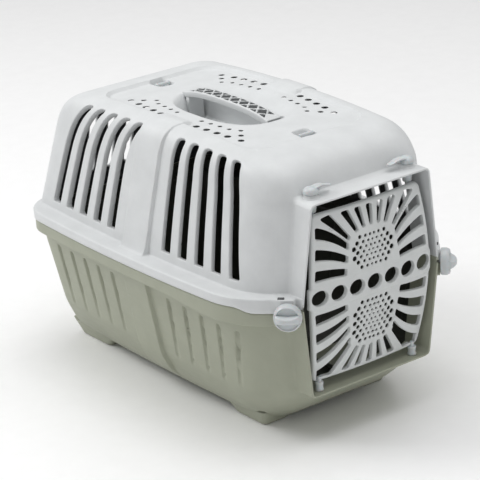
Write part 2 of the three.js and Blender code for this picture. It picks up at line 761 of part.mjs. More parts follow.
// Quarter-turn knob: a disc with a raised grip bar, and the shaft that crosses the rim.
function knob(side) {
  const { radius, base, face } = KNOB;
  const profile = [
    [0, base], [radius, base], [radius, face - 5], [radius - 2, face - 1.5], [radius - 4, face], [0, face],
  ];
  const disc = new THREE.LatheGeometry(profile.map(([r, h]) => new THREE.Vector2(r, h)), 24);
  disc.rotateX(RIGHT_ANGLE);
  const bar = new THREE.BoxGeometry(KNOB.gripWidth, 2 * radius - 6, KNOB.grip - face + 1);
  bar.translate(0, 0, (KNOB.grip + face - 1) / 2);
  const shaft = shaftGeometry(KNOB.shaft, -CATCH.outer + GAP, base + 1);
  return joined([atKnob(disc, side), atKnob(bar, side), atKnob(shaft, side)]);
}

// Catch on the inner end of the shaft; at rest it stands up behind the shell's skirt.
function knobCatch(side) {
  const low = -CATCH.outer - CATCH.thickness;
  const bar = new THREE.BoxGeometry(CATCH.reach, CATCH.width, CATCH.thickness);
  bar.translate(CATCH.reach / 2, 0, low + CATCH.thickness / 2);
  const hub = shaftGeometry(CATCH.width / 2, low, low + CATCH.thickness);
  return atKnob(bar, side).add(atKnob(hub, side));
}

// ---- Handle and strap bars ---------------------------------------------------------------

// Triangular pockets that leave a lattice on top of the grip.
function trussPockets() {
  const tools = [];
  const from = GRIP.rear + 8;
  const pitch = (GRIP.front - GRIP.rear - 16) / TRUSS.cells;
  const half = GRIP.width / 2 - 3;
  for (let i = 0; i < TRUSS.cells; i += 1) {
    const x = from + pitch * i;
    const corners = [
      [x + TRUSS.rib, -half], [x + pitch - TRUSS.rib, -half], [x + pitch / 2, half - 2 * TRUSS.rib],
    ];
    const points = corners.map(([px, py]) => new THREE.Vector2(px, i % 2 ? -py : py));
    tools.push(raised(anticlockwise(points), GRIP.top - TRUSS.depth, GRIP.top + 5));
  }
  return tools;
}

function handleGrip() {
  const half = GRIP.width / 2;
  const low = GRIP.top - GRIP.thickness;
  const bar = box([GRIP.rear, -half, low], [GRIP.front, half, GRIP.top]);
  const legs = [GRIP.rear + 12, GRIP.front - 12].map((x) => box(
    [x - GRIP.leg / 2, -GRIP.legWidth / 2, WELL.floor - WALL - 2],
    [x + GRIP.leg / 2, GRIP.legWidth / 2, low + 1],
  ));
  return cut(joined([bar, ...legs]), trussPockets());
}

function strapBar(x) {
  const geometry = new THREE.CylinderGeometry(STRAP.barRadius, STRAP.barRadius, STRAP.width - 2 * GAP, 16);
  geometry.translate(x, 0, TOP_Z - STRAP.barRadius - 1);
  return solid(geometry);
}

// ---- Assembly ----------------------------------------------------------------------------

const COLOURS = {
  shell: [0xd9dadb, 0.45],
  tub: [0xa9ad98, 0.5],
  door: [0xc4c7c6, 0.45],
  fittings: [0xdfe3e4, 0.35],
  handle: [0xd2d4d5, 0.5],
  steel: [0x9a9da0, 0.3, 0.9],
};

const carrier = new THREE.Group();

function addPiece(name, body, finish) {
  const [color, roughness, metalness = 0] = COLOURS[finish];
  const material = new THREE.MeshStandardMaterial({ color, roughness, metalness });
  const mesh = new THREE.Mesh(geometryOf(body), material);
  mesh.name = name;
  carrier.add(mesh);
}

addPiece("lower_tub", lowerTub(), "tub");
addPiece("upper_shell", upperShell(), "shell");
addPiece("handle_grip", handleGrip(), "handle");
addPiece("strap_bar_rear", strapBar(STRAP.rear), "fittings");
addPiece("strap_bar_front", strapBar(STRAP.front), "fittings");
addPiece("door_panel", doorPanel(), "door");
for (const [label, side] of [["left", -1], ["right", 1]]) {
  addPiece(`hinge_pin_${label}`, hingePin(side), "fittings");
  addPiece(`latch_guide_${label}`, latchGuide(side), "fittings");
  addPiece(`latch_pin_${label}`, latchPin(side), "fittings");
  addPiece(`latch_spring_${label}`, latchSpring(side), "steel");
  addPiece(`latch_lever_${label}`, latchLever(side), "fittings");
  addPiece(`knob_${label}`, knob(side), "fittings");
  addPiece(`knob_catch_${label}`, knobCatch(side), "fittings");
}

export default carrier;
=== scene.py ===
import json
import math
from functools import reduce
from itertools import chain, groupby

import bmesh
import bpy
import numpy as np
from mathutils import Matrix, Vector


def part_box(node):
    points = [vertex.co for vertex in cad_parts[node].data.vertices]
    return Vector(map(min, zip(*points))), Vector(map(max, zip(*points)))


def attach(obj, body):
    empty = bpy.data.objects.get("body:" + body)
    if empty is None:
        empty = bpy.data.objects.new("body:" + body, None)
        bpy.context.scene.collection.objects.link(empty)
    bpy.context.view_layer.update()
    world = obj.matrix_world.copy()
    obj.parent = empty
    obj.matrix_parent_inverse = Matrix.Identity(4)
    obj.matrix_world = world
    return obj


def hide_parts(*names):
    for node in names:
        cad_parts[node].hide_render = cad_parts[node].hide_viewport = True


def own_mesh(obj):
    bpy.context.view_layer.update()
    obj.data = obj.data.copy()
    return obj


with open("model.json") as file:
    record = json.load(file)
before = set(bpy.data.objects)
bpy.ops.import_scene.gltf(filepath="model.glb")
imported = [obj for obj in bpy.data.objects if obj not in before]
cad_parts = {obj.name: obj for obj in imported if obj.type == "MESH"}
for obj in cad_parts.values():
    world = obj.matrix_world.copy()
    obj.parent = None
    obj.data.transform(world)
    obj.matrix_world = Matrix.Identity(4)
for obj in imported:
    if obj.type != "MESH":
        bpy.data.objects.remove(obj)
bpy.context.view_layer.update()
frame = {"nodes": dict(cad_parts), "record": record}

MM = 0.001
FAR = 60.0    # the distance given to points that a feature cannot reach
FAR_BEHIND = 50.0    # the same, for features of the front corners and the collar
AXIS = 0.02    # the radius that stands for the axis in a turned profile
SIDES = (("left", -1), ("right", 1))


def box_mm(node):
    """Lowest and highest corner of a CAD node, in millimetres."""
    low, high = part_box(node)
    return np.array(low) / MM, np.array(high) / MM


# ---- Driving dimensions, in millimetres ----
SHELL_LOW, SHELL_HIGH = box_mm("upper_shell")
DOOR_LOW, DOOR_HIGH = box_mm("door_panel")
PIN_LOW, PIN_HIGH = box_mm("latch_pin_right")
GRIP_LOW, GRIP_HIGH = box_mm("handle_grip")

RIM_Z = 170.0
GAP = 0.15
BAND_Z = 155.0
SIDE_BOW = 7.5 / 157.5
SIDE_MIDDLE = -15.0
BOW_SPAN = 197.0
TOP_MIDDLE = -6.0

# Plan outlines: rear x, front x, half width, rear corner radius, front corner radius.
RIM = (SHELL_LOW[0], 224.0, SHELL_HIGH[1], 43.0, 84.0)
SHELL_FOOT = (-235.3, 217.7, 136.4, 18.0, 70.0)
SHOULDER = (-212.0, 210.0, 117.0, 18.0, 46.0)
TOP_EDGE = (-154.5, 142.6, 85.0, 27.0, 27.0)
FOOT_Z = 183.0
SHOULDER_Z = 283.0
TOP_Z = 321.0
CROWN = 4.5
PANEL_STEP = 3.4
TUB_LEVELS = (
    (153.5, (-234.0, 215.0, 139.0, 18.0, 80.0)),
    (56.0, (-220.0, 213.0, 122.0, 18.0, 74.0)),
    (24.0, (-222.0, 177.0, 106.0, 18.0, 52.0)),
    (7.0, (-220.0, 150.0, 88.0, 18.0, 34.0)),
)
BELLY_Z = 7.0
WALL = 2.0

COLLAR = ((97.5, RIM_Z), (83.0, 285.0), (-83.0, 285.0), (-97.5, RIM_Z), (-85.0, 59.0), (85.0, 59.0))
COLLAR_RADIUS = 7.0
COLLAR_LIP = 230.5
COLLAR_LEAN = 0.042
COLLAR_WIDTH = 3.05
COLLAR_FROM_X = 100.0
CORNER_FROM_X = 150.0

DOOR_MIDDLE = 170.5
DOOR_CREST = 235.5
DOOR_LEAN = 0.052
DOME_ACROSS = 1300.0
DOME_UP = 830.0
DOOR_PLATE = 4.9
MESH_PLATE = 1.8
BAND_MIDDLE = 176.0
BAND_HALF = 14.0
BAND_WIDTH = 86.0
BAND_PROUD = 0.6

PIN_X = (PIN_LOW[0] + PIN_HIGH[0]) / 2
PIN_Y = (PIN_LOW[1] + PIN_HIGH[1]) / 2
KNOB_AT = (220.0, 108.0, 163.5)
KNOB_PAD_HALF = 13.0
DIAGONAL = math.sqrt(0.5)


# ---- Small maths helpers ----

def smooth(value, start, end):
    """0 before start, 1 after end, with soft ends."""
    share = np.clip((value - start) / (end - start), 0.0, 1.0)
    return share * share * (3.0 - 2.0 * share)


def inset(section, distance):
    rear, front, half, rear_radius, front_radius = section
    return (rear + distance, front - distance, half - distance,
            max(rear_radius - distance, 1.0), max(front_radius - distance, 1.0))


def mix(a, b, share):
    return tuple(x + (y - x) * share for x, y in zip(a, b))


def round_pairs(items):
    """Each item with the next one, and the last with the first."""
    return zip(items, items[1:] + items[:1])


def inset_polygon(corners, distance):
    """A convex anticlockwise polygon with each side moved in by a distance."""
    sides = []
    for (ax, ay), (bx, by) in round_pairs(corners):
        length = math.hypot(bx - ax, by - ay)
        normal = ((by - ay) / length, -(bx - ax) / length)
        sides.append((normal[0], normal[1], normal[0] * ax + normal[1] * ay - distance))
    result = []
    for (a1, b1, c1), (a2, b2, c2) in zip(sides[-1:] + sides[:-1], sides):
        bottom = a1 * b2 - a2 * b1
        result.append(((c1 * b2 - c2 * b1) / bottom, (a1 * c2 - a2 * c1) / bottom))
    return result


def area_of(corners):
    return sum(ax * by - bx * ay for (ax, ay), (bx, by) in round_pairs(corners)) / 2


def polygon_distance(u, v, corners, radius=0.0):
    """Signed distance to a convex polygon with rounded corners: negative inside."""
    corners = [tuple(c) for c in corners]
    if area_of(corners) < 0:
        corners = corners[::-1]
    if radius:
        corners = inset_polygon(corners, radius)
    nearest = np.full(u.shape, 1e9)
    inside = np.full(u.shape, -1e9)
    for (ax, ay), (bx, by) in round_pairs(corners):
        ex, ey = bx - ax, by - ay
        length = math.hypot(ex, ey)
        share = np.clip(((u - ax) * ex + (v - ay) * ey) / length ** 2, 0.0, 1.0)
        nearest = np.minimum(nearest, np.hypot(u - ax - share * ex, v - ay - share * ey))
        inside = np.maximum(inside, ((u - ax) * ey - (v - ay) * ex) / length)
    return np.where(inside < 0, inside, nearest) - radius


def box_distance(u, v, half_u, half_v, radius):
    """Signed distance to a rounded rectangle about the origin."""
    across = np.abs(u) - half_u + radius
    up = np.abs(v) - half_v + radius
    outside = np.hypot(np.maximum(across, 0.0), np.maximum(up, 0.0))
    return outside + np.minimum(np.maximum(across, up), 0.0) - radius


def least(distances):
    """The least of several distances, and never more than FAR."""
    return reduce(np.minimum, distances, FAR)


# ---- Sheets ----
X, Y, Z, S = 0, 1, 2, 3
NORMAL = slice(4, 7)
SNAP = 0.05
WELD = 1e-4
CUT_TRIES = 3
CUT_MARGIN = 1e-3
TINY = 1e-12


class Sheet:
    """A surface of polygons that fields cut and push.

    Each base point holds x, y, z, a distance s up the wall, and its unit normal. Fields read
    the base points, so that openings and steps can be laid out before anything is moved."""

    def __init__(self, grid, s_values, wrap):
        rows, columns = grid.shape[:2]
        up = np.gradient(grid, axis=0)
        if wrap:
            across = np.roll(grid, -1, axis=1) - np.roll(grid, 1, axis=1)
        else:
            across = np.gradient(grid, axis=1)
        normals = np.cross(across, up)
        lengths = np.linalg.norm(normals, axis=2, keepdims=True)
        normals = np.where(lengths > 1e-6, normals / np.maximum(lengths, 1e-6), (0.0, 0.0, 1.0))
        s_grid = np.repeat(np.asarray(s_values, float)[:, None], columns, axis=1)[..., None]
        self.points = np.concatenate([grid, s_grid, normals], axis=2).reshape(-1, 7)
        last = columns if wrap else columns - 1
        self.faces = []
        for row in range(rows - 1):
            low = row * columns
            for column in range(last):
                right = (column + 1) % columns
                above = low + columns
                self.faces.append([low + column, low + right, above + right, above + column])

    def face_range(self, values):
        """Lowest and highest of the values over each face's corners."""
        counts = np.fromiter(map(len, self.faces), int, len(self.faces))
        flat = np.fromiter(chain.from_iterable(self.faces), int, int(counts.sum()))
        starts = np.concatenate(([0], np.cumsum(counts)[:-1]))
        return np.minimum.reduceat(values[flat], starts), np.maximum.reduceat(values[flat], starts)

    def split(self, field, *levels):
        for level in levels:
            self.split_once(field, level)

    def split_once(self, field, level):
        values = field(self.points) - level
        values[np.abs(values) < SNAP] = 0.0
        low, high = self.face_range(values)
        crossing = np.nonzero((low < 0) & (high > 0))[0]
        if not len(crossing):
            return
        cuts = {}
        for index in crossing:
            face = self.faces[index]
            for a, b in round_pairs(face):
                if values[a] * values[b] < 0:
                    cuts.setdefault((min(a, b), max(a, b)), len(cuts))
        pairs = np.array(list(cuts), int)
        near, far = self.points[pairs[:, 0]], self.points[pairs[:, 1]]
        low_share, high_share = np.zeros(len(pairs)), np.ones(len(pairs))
        low_value, high_value = values[pairs[:, 0]].copy(), values[pairs[:, 1]].copy()
        for _ in range(CUT_TRIES):
            share = low_share + (high_share - low_share) * low_value / (low_value - high_value)
            share = np.clip(share, low_share + CUT_MARGIN, high_share - CUT_MARGIN)
            found = field(near + (far - near) * share[:, None]) - level
            same = found * low_value > 0
            low_share = np.where(same, share, low_share)
            low_value = np.where(same, found, low_value)
            high_share = np.where(same, high_share, share)
            beyond = np.where(found == 0, TINY * -np.sign(low_value), found)
            high_value = np.where(same, high_value, beyond)
        first = len(self.points)
        self.points = np.vstack([self.points, near + (far - near) * share[:, None]])
        split_faces = []
        for index in crossing:
            face = self.faces[index]
            inner, outer = [], []
            for a, b in round_pairs(face):
                if values[a] <= 0:
                    inner.append(a)
                if values[a] >= 0:
                    outer.append(a)
                if values[a] * values[b] < 0:
                    middle = first + cuts[(min(a, b), max(a, b))]
                    inner.append(middle)
                    outer.append(middle)
            split_faces.append((inner, outer))
        for index, (inner, outer) in zip(crossing, split_faces):
            self.faces[index] = inner
            if len(outer) > 2:
                self.faces.append(outer)

    def remove(self, field, level, inside=True):
        """Drops the faces that lie inside, or outside, a level of a field."""
        values = field(self.points) - level
        low, high = self.face_range(values)
        middle = (low + high) / 2
        keep = middle > 0 if inside else middle < 0
        self.faces = [face for face, kept in zip(self.faces, keep) if kept]

    def moved(self, moves):
        """The points after all the moves, each a function of the base points."""
        return self.points[:, :3] + sum(move(self.points) for move in moves)


def make_object(name, points, faces, material, closed=False):
    """A mesh object from millimetre points; unused points are dropped and seams welded.
    A closed mesh has its faces turned outwards."""
    points = np.asarray(points, float)
    keys = {}
    remap = {}
    kept = []
    for index in sorted(set(chain.from_iterable(faces))):
        key = tuple(np.round(points[index] / WELD).astype(int))
        if key not in keys:
            keys[key] = len(kept)
            kept.append(points[index] * MM)
        remap[index] = keys[key]
    clean = []
    for face in faces:
        loop = [corner for corner, _ in groupby(remap[index] for index in face)]
        if len(loop) > 1 and loop[0] == loop[-1]:
            loop.pop()
        if len(loop) == len(set(loop)) > 2:
            clean.append(loop)
    mesh = bpy.data.meshes.new(name)
    mesh.from_pydata([tuple(p) for p in kept], [], clean)
    mesh.validate()
    mesh.update()
    if closed:
        work = bmesh.new()
        work.from_mesh(mesh)
        bmesh.ops.recalc_face_normals(work, faces=work.faces)
        work.to_mesh(mesh)
        work.free()
    mesh.polygons.foreach_set("use_smooth", [True] * len(mesh.polygons))
    mesh.materials.append(material)
    piece = bpy.data.objects.new(name, mesh)
    bpy.context.scene.collection.objects.link(piece)
    return piece


def thicken(piece, inner_shade):
    """Gives a sheet a wall behind its face, the inside in a dark material that paints the shade within."""
    solid = piece.modifiers.new("wall", "SOLIDIFY")
    solid.thickness = WALL * MM
    solid.offset = -1
    piece.data.materials.append(inner_shade)
    solid.material_offset = 1


def weigh_normals(piece):
    weighted = piece.modifiers.new("weighted", "WEIGHTED_NORMAL")
    weighted.keep_sharp = True
    weighted.weight = 60


def plate(front, faces, back):
    """Front and back points with the faces of both and the walls between their open edges."""
    count = len(front)
    edges = {}
    for face in faces:
        for a, b in round_pairs(face):
            if (b, a) in edges:
                del edges[(b, a)]
            else:
                edges[(a, b)] = True
    walls = [[b, a, a + count, b + count] for a, b in edges]
    behind = [[i + count for i in reversed(face)] for face in faces]
    return np.vstack([front, back]), faces + behind + walls


# ---- Materials ----

def node(tree, kind, **inputs):
    made = tree.nodes.new(kind)
    for key, value in inputs.items():
        made.inputs[key].default_value = value
    return made


def remap(tree, source, *ends):
    """A socket's value carried from one range to another."""
    made = node(tree, "ShaderNodeMapRange", **dict(zip(("From Min", "From Max", "To Min", "To Max"), ends)))
    tree.links.new(source, made.inputs["Value"])
    return made.outputs["Result"]


GRAIN_SCALE = 2600.0
SCUFF_SHARE = 0.25


def plastic(name, colour, variation=0.03, roughness=(0.42, 0.56), bump=0.12, wear=0.35, coat=0.0,
            subsurface=0.0):
    """Moulded plastic: faint mottling, fine texture, scuffs and paler worn edges."""
    material = bpy.data.materials.new(name)
    material.use_nodes = True
    tree = material.node_tree
    link = tree.links.new
    shader = tree.nodes["Principled BSDF"]
    shader.inputs["Coat Weight"].default_value = coat
    shader.inputs["Subsurface Weight"].default_value = subsurface
    shader.inputs["Subsurface Scale"].default_value = 0.004
    place = tree.nodes.new("ShaderNodeTexCoord").outputs["Object"]

    mottle = node(tree, "ShaderNodeTexNoise", Scale=38.0, Detail=5.0, Roughness=0.6)
    link(place, mottle.inputs["Vector"])
    tone = tree.nodes.new("ShaderNodeValToRGB")
    darker = [max(0.0, c * (1 - 1.6 * variation)) for c in colour]
    lighter = [min(1.0, c * (1 + variation)) for c in colour]
    tone.color_ramp.elements[0].position = 0.3
    tone.color_ramp.elements[0].color = (*darker, 1)
    tone.color_ramp.elements[1].position = 0.7
    tone.color_ramp.elements[1].color = (*lighter, 1)
    link(mottle.outputs["Fac"], tone.inputs["Fac"])

    geometry = tree.nodes.new("ShaderNodeNewGeometry")
    edge = remap(tree, geometry.outputs["Pointiness"], 0.52, 0.62, 0.0, wear)
    worn = tree.nodes.new("ShaderNodeMix")
    worn.data_type = "RGBA"
    worn.inputs["B"].default_value = (*[min(1.0, c * 1.12 + 0.015) for c in colour], 1)
    link(edge, worn.inputs["Factor"])
    link(tone.outputs["Color"], worn.inputs["A"])
    link(worn.outputs["Result"], shader.inputs["Base Color"])

    streak = node(tree, "ShaderNodeTexNoise", Scale=160.0, Detail=6.0, Roughness=0.7)
    stretch = tree.nodes.new("ShaderNodeMapping")
    stretch.inputs["Scale"].default_value = (0.35, 0.35, 1.6)
    link(place, stretch.inputs["Vector"])
    link(stretch.outputs["Vector"], streak.inputs["Vector"])
    link(remap(tree, streak.outputs["Fac"], 0.3, 0.7, *roughness), shader.inputs["Roughness"])

    fine = node(tree, "ShaderNodeTexNoise", Scale=GRAIN_SCALE, Detail=2.0, Roughness=0.5)
    link(place, fine.inputs["Vector"])
    height = tree.nodes.new("ShaderNodeMath")
    height.operation = "MULTIPLY_ADD"
    height.inputs[1].default_value = SCUFF_SHARE
    link(streak.outputs["Fac"], height.inputs[0])
    link(fine.outputs["Fac"], height.inputs[2])
    texture = node(tree, "ShaderNodeBump", Strength=bump, Distance=0.0004)
    link(height.outputs["Value"], texture.inputs["Height"])
    link(texture.outputs["Normal"], shader.inputs["Normal"])
    return material


def steel(name):
    material = plastic(name, (0.42, 0.43, 0.44), variation=0.08, roughness=(0.22, 0.38), bump=0.05)
    material.node_tree.nodes["Principled BSDF"].inputs["Metallic"].default_value = 1.0
    return material


# Dark grey paint for the shade down in the grip's pockets.
POCKET_PAINTED_SHADE = plastic("handle_pocket_painted_shade", (0.25, 0.26, 0.265), wear=0.1)
# Near-black paint for the shade inside the hollow shell, seen through its slots and collar.
SHELL_PAINTED_SHADE = plastic("shell_inside_painted_shade", (0.075, 0.078, 0.08), wear=0.1)
# Near-black olive paint for the shade inside the tub.
TUB_PAINTED_SHADE = plastic("tub_inside_painted_shade", (0.055, 0.058, 0.045), wear=0.1)
FINISHES = {
    "shell_plastic": plastic("shell_plastic_finish", (0.66, 0.675, 0.68)),
    "tub_plastic": plastic("tub_plastic_finish", (0.35, 0.365, 0.285)),
    "door_plastic": plastic("door_plastic_finish", (0.66, 0.68, 0.675)),
    "fitting_plastic": plastic("fitting_plastic_finish", (0.56, 0.59, 0.60), roughness=(0.28, 0.4), coat=0.15,
                               subsurface=0.12, bump=0.06),
    "handle_plastic": plastic("handle_plastic_finish", (0.64, 0.655, 0.66)),
    "spring_steel": steel("spring_steel_finish"),
}


def place_piece(piece, body, slot, *replaced):
    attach(piece, body)
    if replaced:
        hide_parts(*replaced)


def add_piece(name, part, body, slot, *replaced, closed=True, inside=None):
    """A piece from points and faces, in its slot's finish and riding on its body."""
    points, faces = part
    piece = make_object(name, points, faces, FINISHES[slot], closed)
    if inside:
        thicken(piece, inside)
    weigh_normals(piece)
    place_piece(piece, body, slot, *replaced)
    return piece


# ---- Plan outlines ----
STATIONS = {"across": 26, "arc": 20, "along": 110, "rear_arc": 8, "rear_across": 36}


def outline(section):
    """Points all round a plan outline, from the middle of the front along the +Y side."""
    rear, front, half, rear_radius, front_radius = section

    def line(start, end, count):
        return [mix(start, end, i / count) for i in range(count)]

    def arc(cx, cy, radius, start, count):
        angles = [start + math.pi / 2 * i / count for i in range(count)]
        return [(cx + radius * math.cos(t), cy + radius * math.sin(t)) for t in angles]

    front_from, rear_from = front - front_radius, rear + rear_radius
    points = line((front, 0.0), (front, half - front_radius), STATIONS["across"])
    points += arc(front_from, half - front_radius, front_radius, 0.0, STATIONS["arc"])
    points += line((front_from, half), (rear_from, half), STATIONS["along"])
    points += arc(rear_from, half - rear_radius, rear_radius, math.pi / 2, STATIONS["rear_arc"])
    points += line((rear, half - rear_radius), (rear, 0.0), STATIONS["rear_across"])
    points.append((rear, 0.0))
    bowed = [(x, y * (1 - SIDE_BOW * ((x - SIDE_MIDDLE) / BOW_SPAN) ** 2)) for x, y in points]
    return np.array(bowed + [(x, -y) for x, y in bowed[-2:0:-1]])


def crown_at(x, z):
    share = np.clip((z - SHOULDER_Z) / (TOP_Z - SHOULDER_Z), 0.0, 1.0)
    reach = (TOP_EDGE[1] - TOP_EDGE[0]) / 2
    return CROWN * share * np.maximum(0.0, 1 - ((x - TOP_MIDDLE) / reach) ** 2)


def stack(levels):
    """A grid of points and the side profile's length at each level (z, section)."""
    rings = []
    for z, section in levels:
        plan = outline(section)
        heights = z + crown_at(plan[:, 0], np.full(len(plan), z))
        rings.append(np.column_stack([plan, heights]))
    profile = np.array([(section[2], z) for z, section in levels])
    lengths = np.concatenate(([0.0], np.cumsum(np.linalg.norm(np.diff(profile, axis=0), axis=1))))
    return np.array(rings), lengths


# ---- Features shared by shell and tub ----

def along_normal(p, amount):
    return p[:, NORMAL] * amount[:, None]


def forwards(amount):
    return np.column_stack([amount, np.zeros((len(amount), 2))])


def downwards(amount):
    return np.column_stack([np.zeros((len(amount), 2)), -amount])


def collar_field(p):
    return polygon_distance(p[:, Y], p[:, Z], COLLAR, COLLAR_RADIUS)


# Distance outside the collar's outline, share of the way to the lip, and offset behind it.
COLLAR_PROFILE = (
    (-3.05, 1.0, -40.0), (-2.8, 1.0, -0.9), (-2.5, 1.0, -0.25), (-2.0, 1.0, 0.0), (-1.1, 1.0, 0.0),
    (-0.6, 1.0, -0.25), (-0.3, 1.0, -0.9), (0.0, 0.16, 0.0), (0.8, 0.05, 0.0), (2.2, 0.0, 0.0),
)


def collar_move(p):
    away = collar_field(p)
    levels, share, offset = zip(*COLLAR_PROFILE)
    lip = COLLAR_LIP + COLLAR_LEAN * (p[:, Z] - RIM_Z)
    pull = np.interp(away, levels, share) * (p[:, X] > COLLAR_FROM_X)
    return forwards(pull * (lip + np.interp(away, levels, offset) - p[:, X]))


def cut_collar(sheet):
    def in_front(p):
        return np.where(p[:, X] > COLLAR_FROM_X, collar_field(p), FAR_BEHIND)
    sheet.split(in_front, *[level for level, _, _ in COLLAR_PROFILE])
    sheet.remove(in_front, -COLLAR_WIDTH)


def pad_field(p):
    """Distance outside the flat pad behind each front knob; the pad runs on to the collar."""
    along = (p[:, X] - np.abs(p[:, Y])) / math.sqrt(2)
    middle = (KNOB_AT[0] - KNOB_AT[1]) / math.sqrt(2)
    return np.where(p[:, X] > CORNER_FROM_X, middle - along - KNOB_PAD_HALF, FAR_BEHIND)


def pad_move(low_z, high_z):
    seat = (KNOB_AT[0] + KNOB_AT[1]) / math.sqrt(2)

    def move(p):
        outward = (p[:, X] + np.abs(p[:, Y])) / math.sqrt(2)
        share = 1 - smooth(pad_field(p), -5.0, 5.0)
        share *= smooth(collar_field(p), -0.1, 0.3)
        share *= smooth(p[:, Z], low_z - 1.0, low_z) * (1 - smooth(p[:, Z], high_z, high_z + 1.0))
        out = np.maximum(seat - outward, 0.0) * share / math.sqrt(2)
        return np.column_stack([out, out * np.sign(p[:, Y]), np.zeros(len(p))])
    return move


def parting_move(p):
    """The parting line steps down towards the front, and the tub's band runs down with it."""
    line = 5.5 * smooth(p[:, X], 172.0, 190.0) * smooth(p[:, Z], 160.0, 168.0)
    band = 6.0 * smooth(p[:, X], 30.0, 150.0) * smooth(p[:, Z], 100.0, 150.0)
    band *= 1 - smooth(p[:, Z], 160.0, 168.0)
    return downwards((line + band) * (1 - smooth(p[:, Z], 171.0, 179.0)) * (collar_field(p) > -0.1))


# ---- Upper shell ----
WALL_ROWS = 34
ROUND_ROWS = 20
ROOF_PITCH = 2.5
SLOT_DISTANCES = [53.5 + 29.6 * i for i in range(5)]
SLOT_HALF = 7.7
SLOT_TIP = 130.0
SLOT_FLANGE = 4.6
REAR_FLANGE = 6.8
SLOT_LEAN = 20.0
SLOT_MIDDLE = 65.75
PILLAR_HALF = 22.5
SIDE_WALL_Y = 74.0
PILLAR_WALL_Y = 60.0
REAR_WALL_X = -150.0
REAR_WALL_Y = 72.0
REAR_SLOT_PITCH = 27.0
REAR_SLOT_MIDDLE = 65.0
REAR_SLOT_HALF = (5.4, 53.0)
REAR_SLOT_CORNER = 5.3


def shoulder_curve(t):
    """Share of the way in to the top's edge, and the height, along the round shoulder."""
    points = ((0.0, SHOULDER_Z), (0.13, SHOULDER_Z + 27.0), (0.36, TOP_Z), (1.0, TOP_Z))
    weights = ((1 - t) ** 3, 3 * t * (1 - t) ** 2, 3 * t * t * (1 - t), t ** 3)
    return tuple(sum(w * point[axis] for w, point in zip(weights, points)) for axis in (0, 1))


def shell_levels():
    levels = [(z, RIM) for z in (RIM_Z + GAP, 173.0, 176.0, 179.2)]
    levels += [(180.0, inset(RIM, 0.5)), (180.7, inset(RIM, 1.3)), (181.1, inset(RIM, 2.6))]
    ledge = inset(RIM, 2.6)
    for share, z in ((0.25, 181.2), (0.5, 181.3), (0.75, 181.4), (0.88, 181.6), (0.96, 182.2)):
        levels.append((z, mix(ledge, SHELL_FOOT, share)))
    for i in range(WALL_ROWS + 1):
        share = i / WALL_ROWS
        levels.append((FOOT_Z + (SHOULDER_Z - FOOT_Z) * share, mix(SHELL_FOOT, SHOULDER, share)))
    for i in range(1, ROUND_ROWS + 1):
        share, z = shoulder_curve(i / ROUND_ROWS)
        levels.append((z, mix(SHOULDER, TOP_EDGE, share)))
    distance = 1.0
    while distance < TOP_EDGE[2]:
        levels.append((TOP_Z, inset(TOP_EDGE, distance)))
        distance += ROOF_PITCH
    return levels


def side_centre(s):
    return -15.7 + 9.5 * np.clip(s / SLOT_TIP, 0.0, 1.2) ** 1.5


def side_slots(p):
    """Distance outside the upright slots of both sides, in x and s."""
    s = p[:, S]
    tip = (np.maximum(s - 75.0, 0.0) / 59.0) ** 2
    half = SLOT_HALF * (1 - 0.08 * np.clip(s / SLOT_TIP, 0.0, 1.0))
    corner = np.where(s > SLOT_TIP / 2, 5.0, 1.6)
    nearest = np.full(len(p), FAR)
    for distance in SLOT_DISTANCES:
        for direction in (-1, 1):
            lean = SLOT_LEAN if direction < 0 else 0.08 * (90.0 - distance)
            middle = side_centre(s) + direction * distance * (1 - 0.00103 * s) + lean * tip
            slot = box_distance(p[:, X] - middle, s - SLOT_MIDDLE, half, SLOT_TIP - SLOT_MIDDLE, corner)
            nearest = np.minimum(nearest, slot)
    return np.where((np.abs(p[:, Y]) > SIDE_WALL_Y) & (s > -3), nearest, FAR)


def rear_slots(p):
    up = p[:, S] - REAR_SLOT_MIDDLE
    slots = (box_distance(p[:, Y] - REAR_SLOT_PITCH * i, up, *REAR_SLOT_HALF, REAR_SLOT_CORNER)
             for i in range(-2, 3))
    return np.where((p[:, X] < REAR_WALL_X) & (np.abs(p[:, Y]) < REAR_WALL_Y), least(slots), FAR)


def shell_slots(p):
    return np.minimum(side_slots(p), rear_slots(p))


def flange_move(p):
    away = shell_slots(p)
    lip = np.interp(away, (0.0, 0.35, 0.8, 1.4), (0.9, 0.35, 0.1, 0.0))
    rear_group = (p[:, X] < side_centre(p[:, S])) & (np.abs(p[:, Y]) > SIDE_WALL_Y)
    flange = np.where(rear_group, REAR_FLANGE, SLOT_FLANGE)
    return along_normal(p, -np.where(away < 0.0, lip + (flange - lip) * np.minimum(-away / 0.3, 1.0), lip))


def pillar_field(p):
    away = np.abs(p[:, X] - side_centre(p[:, S])) - PILLAR_HALF
    return np.where(np.abs(p[:, Y]) > PILLAR_WALL_Y, away, FAR)


def pillar_move(p):
    s = p[:, S]
    fade = 1 - 0.55 * smooth(s, 110, 148) - 0.45 * smooth(s, 149, 160)
    height = 3.3 * fade + 3.5 * np.exp(-np.maximum(s + 9.0, 0.0) / 9.0)
    height *= smooth(s, -19.0, -9.0) * (1 - smooth(pillar_field(p), -0.7, 0.7))
    sideways = np.column_stack([np.zeros(len(p)), np.sign(p[:, Y]), np.zeros(len(p))])
    share = smooth(s, 4.0, 24.0)[:, None]
    return (p[:, NORMAL] * share + sideways * (1 - share)) * height[:, None]


def roof_mask(p):
    return p[:, S] > ROOF_S


def panel_move(p):
    beyond = p[:, S] - ROOF_S
    near_pillar = 1 - smooth(np.abs(p[:, X] - TOP_MIDDLE) - PILLAR_HALF, -1.5, 1.5)
    near_pillar *= (np.abs(p[:, Y]) > 55)
    start = 2.3 + 7.0 * near_pillar
    return downwards(PANEL_STEP * smooth(beyond, start, start + 1.3 + 5.0 * near_pillar))


